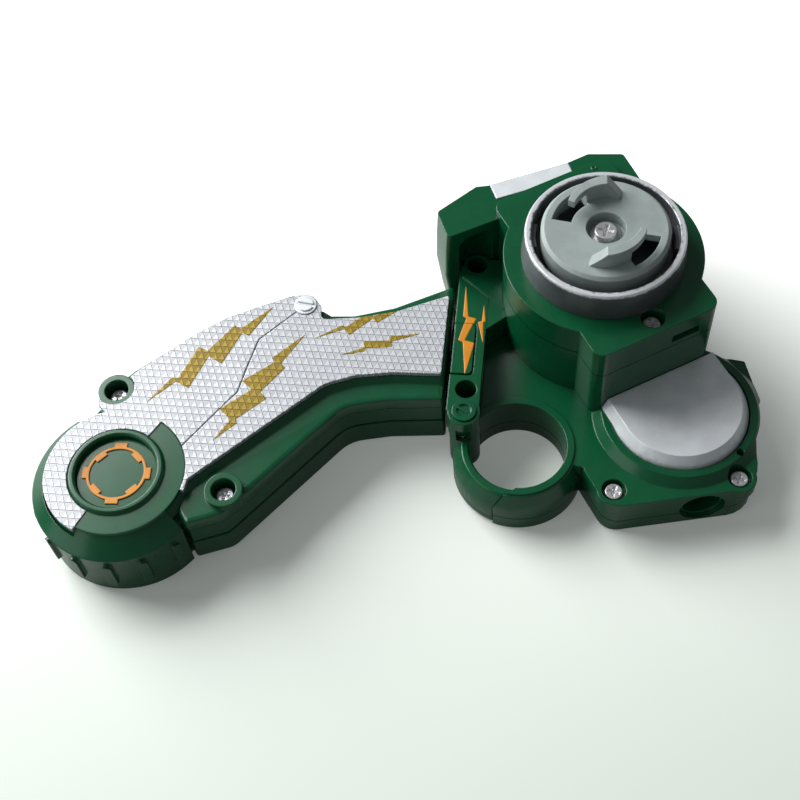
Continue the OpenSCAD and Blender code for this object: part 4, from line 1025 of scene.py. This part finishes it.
@dataclass
class Grip(Assembly):
    """The bent grip with its printed covers, screws and tail drum.

    Attributes:
        shell_edge: rounding of the shells in millimetres.
        cover_edge: rounding of the covers.
        flash: the gold flashes over both covers.
    """

    shell_edge: float = 0.35
    cover_edge: float = 0.18
    flash: Print = field(default_factory=lambda: Print([
        Bolt((-118.0, 24.0), 18.0, [(9.0, 0.4, 1.8), (10.0, -2.2, 4.4), (20.0, 1.6, 4.2), (20.8, -1.8, 5.8),
                                    (31.0, 0.6, 3.4), (31.4, -1.4, 3.4), (42.0, -0.6, 0.2)]),
        Bolt((-107.0, 5.5), 28.0, [(7.0, -0.6, 2.2), (7.8, 2.0, 5.4), (17.0, -0.8, 5.0), (17.6, 2.4, 6.2),
                                   (27.0, 0.4, 3.4), (27.4, 2.0, 3.2), (38.0, 1.0, 0.2)]),
        Bolt((-72.0, 22.0), -4.0, [(8.0, 0.3, 1.4), (8.6, -1.3, 2.8), (16.0, 1.0, 2.6), (16.6, -0.8, 2.4),
                                   (26.0, 0.2, 0.2)]),
        Bolt((-68.0, 14.0), -10.0, [(6.0, -0.2, 1.2), (6.6, 1.2, 2.4), (13.0, -0.5, 2.2), (13.6, 0.9, 1.8),
                                    (21.0, 0.2, 0.2)])], 20.4, 21.8))

    def build(self) -> None:
        """Builds the grip and its tail."""
        p = self.palette
        for node, material in (("grip_bottom_shell", p.grip_green), ("grip_middle_band", p.grip_green),
                               ("grip_top_shell", p.grip_green), ("tail_drum", p.deep_green),
                               ("tail_cap", p.green),
                               ("badge_disc", p.green)):
            self.soften(node, Body.FIXED, Slot.GREEN, material, self.shell_edge)
        for node in ("front_cover", "rear_cover"):
            cover = copy_of_node(node, node + "_plate")
            round_edges(cover, self.cover_edge)
            flash = self.flash.stamp(node, node + "_flash")
            finish_piece(cover, Body.FIXED, p.cover, [node])
            finish_piece(flash, Body.FIXED, p.cover_gold, [])
        self.soften("cover_rivet", Body.FIXED, Slot.SILVER, p.silver, 0.15)
        self.soften("badge_gear", Body.FIXED, Slot.ORANGE, p.orange, 0.06)
        self.soften("grip_screws", Body.FIXED, Slot.SCREW, p.screw, 0.08)
        self.keep("grip_tongue", p.green)


@dataclass
class Studio:
    """The floor, the soft lights and the camera.

    Attributes:
        eye: the camera's place in metres.
        right: the camera's own X axis.
        up: its Y axis.
        back: its Z axis.
        lens: focal length in millimetres.
        floor: the floor's colour as the camera sees it.
        bounce: the floor's colour for the light that it throws back at the launcher.
        gloss_share: how much of the seen floor the glossy faces mirror.
        far_glow: how much lighter than lit the camera sees the floor far off.
        background: the far floor's colour.
        far_lean: how much sooner the far floor starts towards +X.
        far_from: where the far floor starts, in metres.
        far_to: where it is all there.
        rim_from: the radius where the floor starts to run into white, in metres.
        rim_to: the radius where it is white.
        sky: the world's colour.
        sky_strength: its strength.
        aim_at: the point that the lamps face.
        lamps: name, place, power in watts and size in metres of each lamp.
    """

    eye: tuple[float, float, float] = (-0.1236, -0.1770, 0.3087)
    right: tuple[float, float, float] = (0.90146, -0.42896, -0.05804)
    up: tuple[float, float, float] = (0.39123, 0.75000, 0.53333)
    back: tuple[float, float, float] = (-0.18525, -0.50349, 0.84392)
    lens: float = 60.80
    floor: Colour = (0.80, 0.88, 0.79)
    bounce: Colour = (0.32, 0.35, 0.32)
    gloss_share: float = 0.35
    far_glow: float = 0.30
    background: Colour = (0.97, 0.98, 0.97)
    far_lean: float = 0.45
    far_from: float = -0.16
    far_to: float = 0.08
    rim_from: float = 0.40
    rim_to: float = 1.10
    sky: Colour = (0.93, 0.97, 1.0)
    sky_strength: float = 0.15
    aim_at: tuple[float, float, float] = (-0.06, 0.0, 0.0)
    lamps: Sequence[tuple[str, tuple[float, float, float], float, float]] = (
        ("Window", (-0.50, 0.86, 0.69), 24.5, 0.9), ("Fill", (-1.05, 0.00, 0.50), 1.4, 0.7))

    def build(self) -> None:
        """Sets up the floor, the world, the lamps and the camera."""
        self.lay_floor()
        self.light()
        self.aim()

    def lay_floor(self) -> None:
        """Lays a large matt floor whose far part runs into the background."""
        bpy.ops.object.select_all(action="DESELECT")
        bpy.ops.mesh.primitive_plane_add(size=4.0, location=(0, 0, -0.0002))
        floor = bpy.context.object
        floor.name = "floor"
        material = bpy.data.materials.new("Pale floor")
        material.use_nodes = True
        g = Graph(material.node_tree)
        shader = next(n for n in g.tree.nodes if n.type == "BSDF_PRINCIPLED")
        place = g.add("ShaderNodeTexCoord")
        split = g.add("ShaderNodeSeparateXYZ")
        g.feed(split.inputs[0], place.outputs["Object"])
        lean = g.math("ADD", g.math("MULTIPLY", split.outputs["X"], self.far_lean), split.outputs["Y"])
        far = g.ramp(lean, self.far_from, self.far_to)
        shown = g.mix(far, self.floor + (1.0,), self.background + (1.0,))
        reach = g.add("ShaderNodeVectorMath", operation="LENGTH")
        g.feed(reach.inputs[0], place.outputs["Object"])
        distant = g.ramp(reach.outputs["Value"], self.rim_from, self.rim_to)
        ray = g.add("ShaderNodeLightPath")
        seen = g.math("MAXIMUM", g.math("MAXIMUM", ray.outputs["Is Camera Ray"],
                                        ray.outputs["Is Transmission Ray"]),
                      g.math("MULTIPLY", ray.outputs["Is Glossy Ray"], self.gloss_share))
        g.feed(shader.inputs["Base Color"], g.mix(seen, self.bounce + (1.0,), shown))
        shader.inputs["Emission Color"].default_value = (0.96, 1.0, 0.96, 1.0)
        glow = g.math("MULTIPLY_ADD", far, self.far_glow, distant)
        g.feed(shader.inputs["Emission Strength"], g.math("MULTIPLY", glow, seen))
        shader.inputs["Roughness"].default_value = 0.55
        shader.inputs["Specular IOR Level"].default_value = 0.25
        floor.data.materials.append(material)

    def light(self) -> None:
        """Sets a pale world and two broad soft lamps."""
        scene = bpy.context.scene
        scene.view_settings.view_transform = "Standard"
        world = bpy.data.worlds.new("Studio")
        world.use_nodes = True
        background = world.node_tree.nodes["Background"]
        background.inputs["Color"].default_value = self.sky + (1.0,)
        background.inputs["Strength"].default_value = self.sky_strength
        scene.world = world
        for name, place, power, size in self.lamps:
            lamp = bpy.data.lights.new(name, "AREA")
            lamp.energy, lamp.size = power, size
            item = bpy.data.objects.new(name, lamp)
            scene.collection.objects.link(item)
            item.location = place
            item.rotation_mode = "QUATERNION"
            item.rotation_quaternion = (Vector(self.aim_at) - item.location).to_track_quat("-Z", "Y")

    def aim(self) -> None:
        """Places the camera at the photograph's view."""
        lens = bpy.data.cameras.new("View")
        lens.lens, lens.sensor_width = self.lens, 36.0
        lens.clip_start, lens.clip_end = 0.01, 20.0
        camera = bpy.data.objects.new("View", lens)
        bpy.context.scene.collection.objects.link(camera)
        turn = Matrix((self.right, self.up, self.back)).transposed().to_4x4()
        camera.matrix_world = Matrix.Translation(self.eye) @ turn
        bpy.context.scene.camera = camera


def main() -> None:
    """Builds every sub-assembly in order."""
    logging.basicConfig(level=logging.INFO, format="%(name)s %(message)s")
    palette = Palette(Effects())
    for kind in (Head, Hub, Drive, Base, Connector, Grip):
        kind(palette).build()
    Studio().build()


if __name__ == "__main__":
    main()
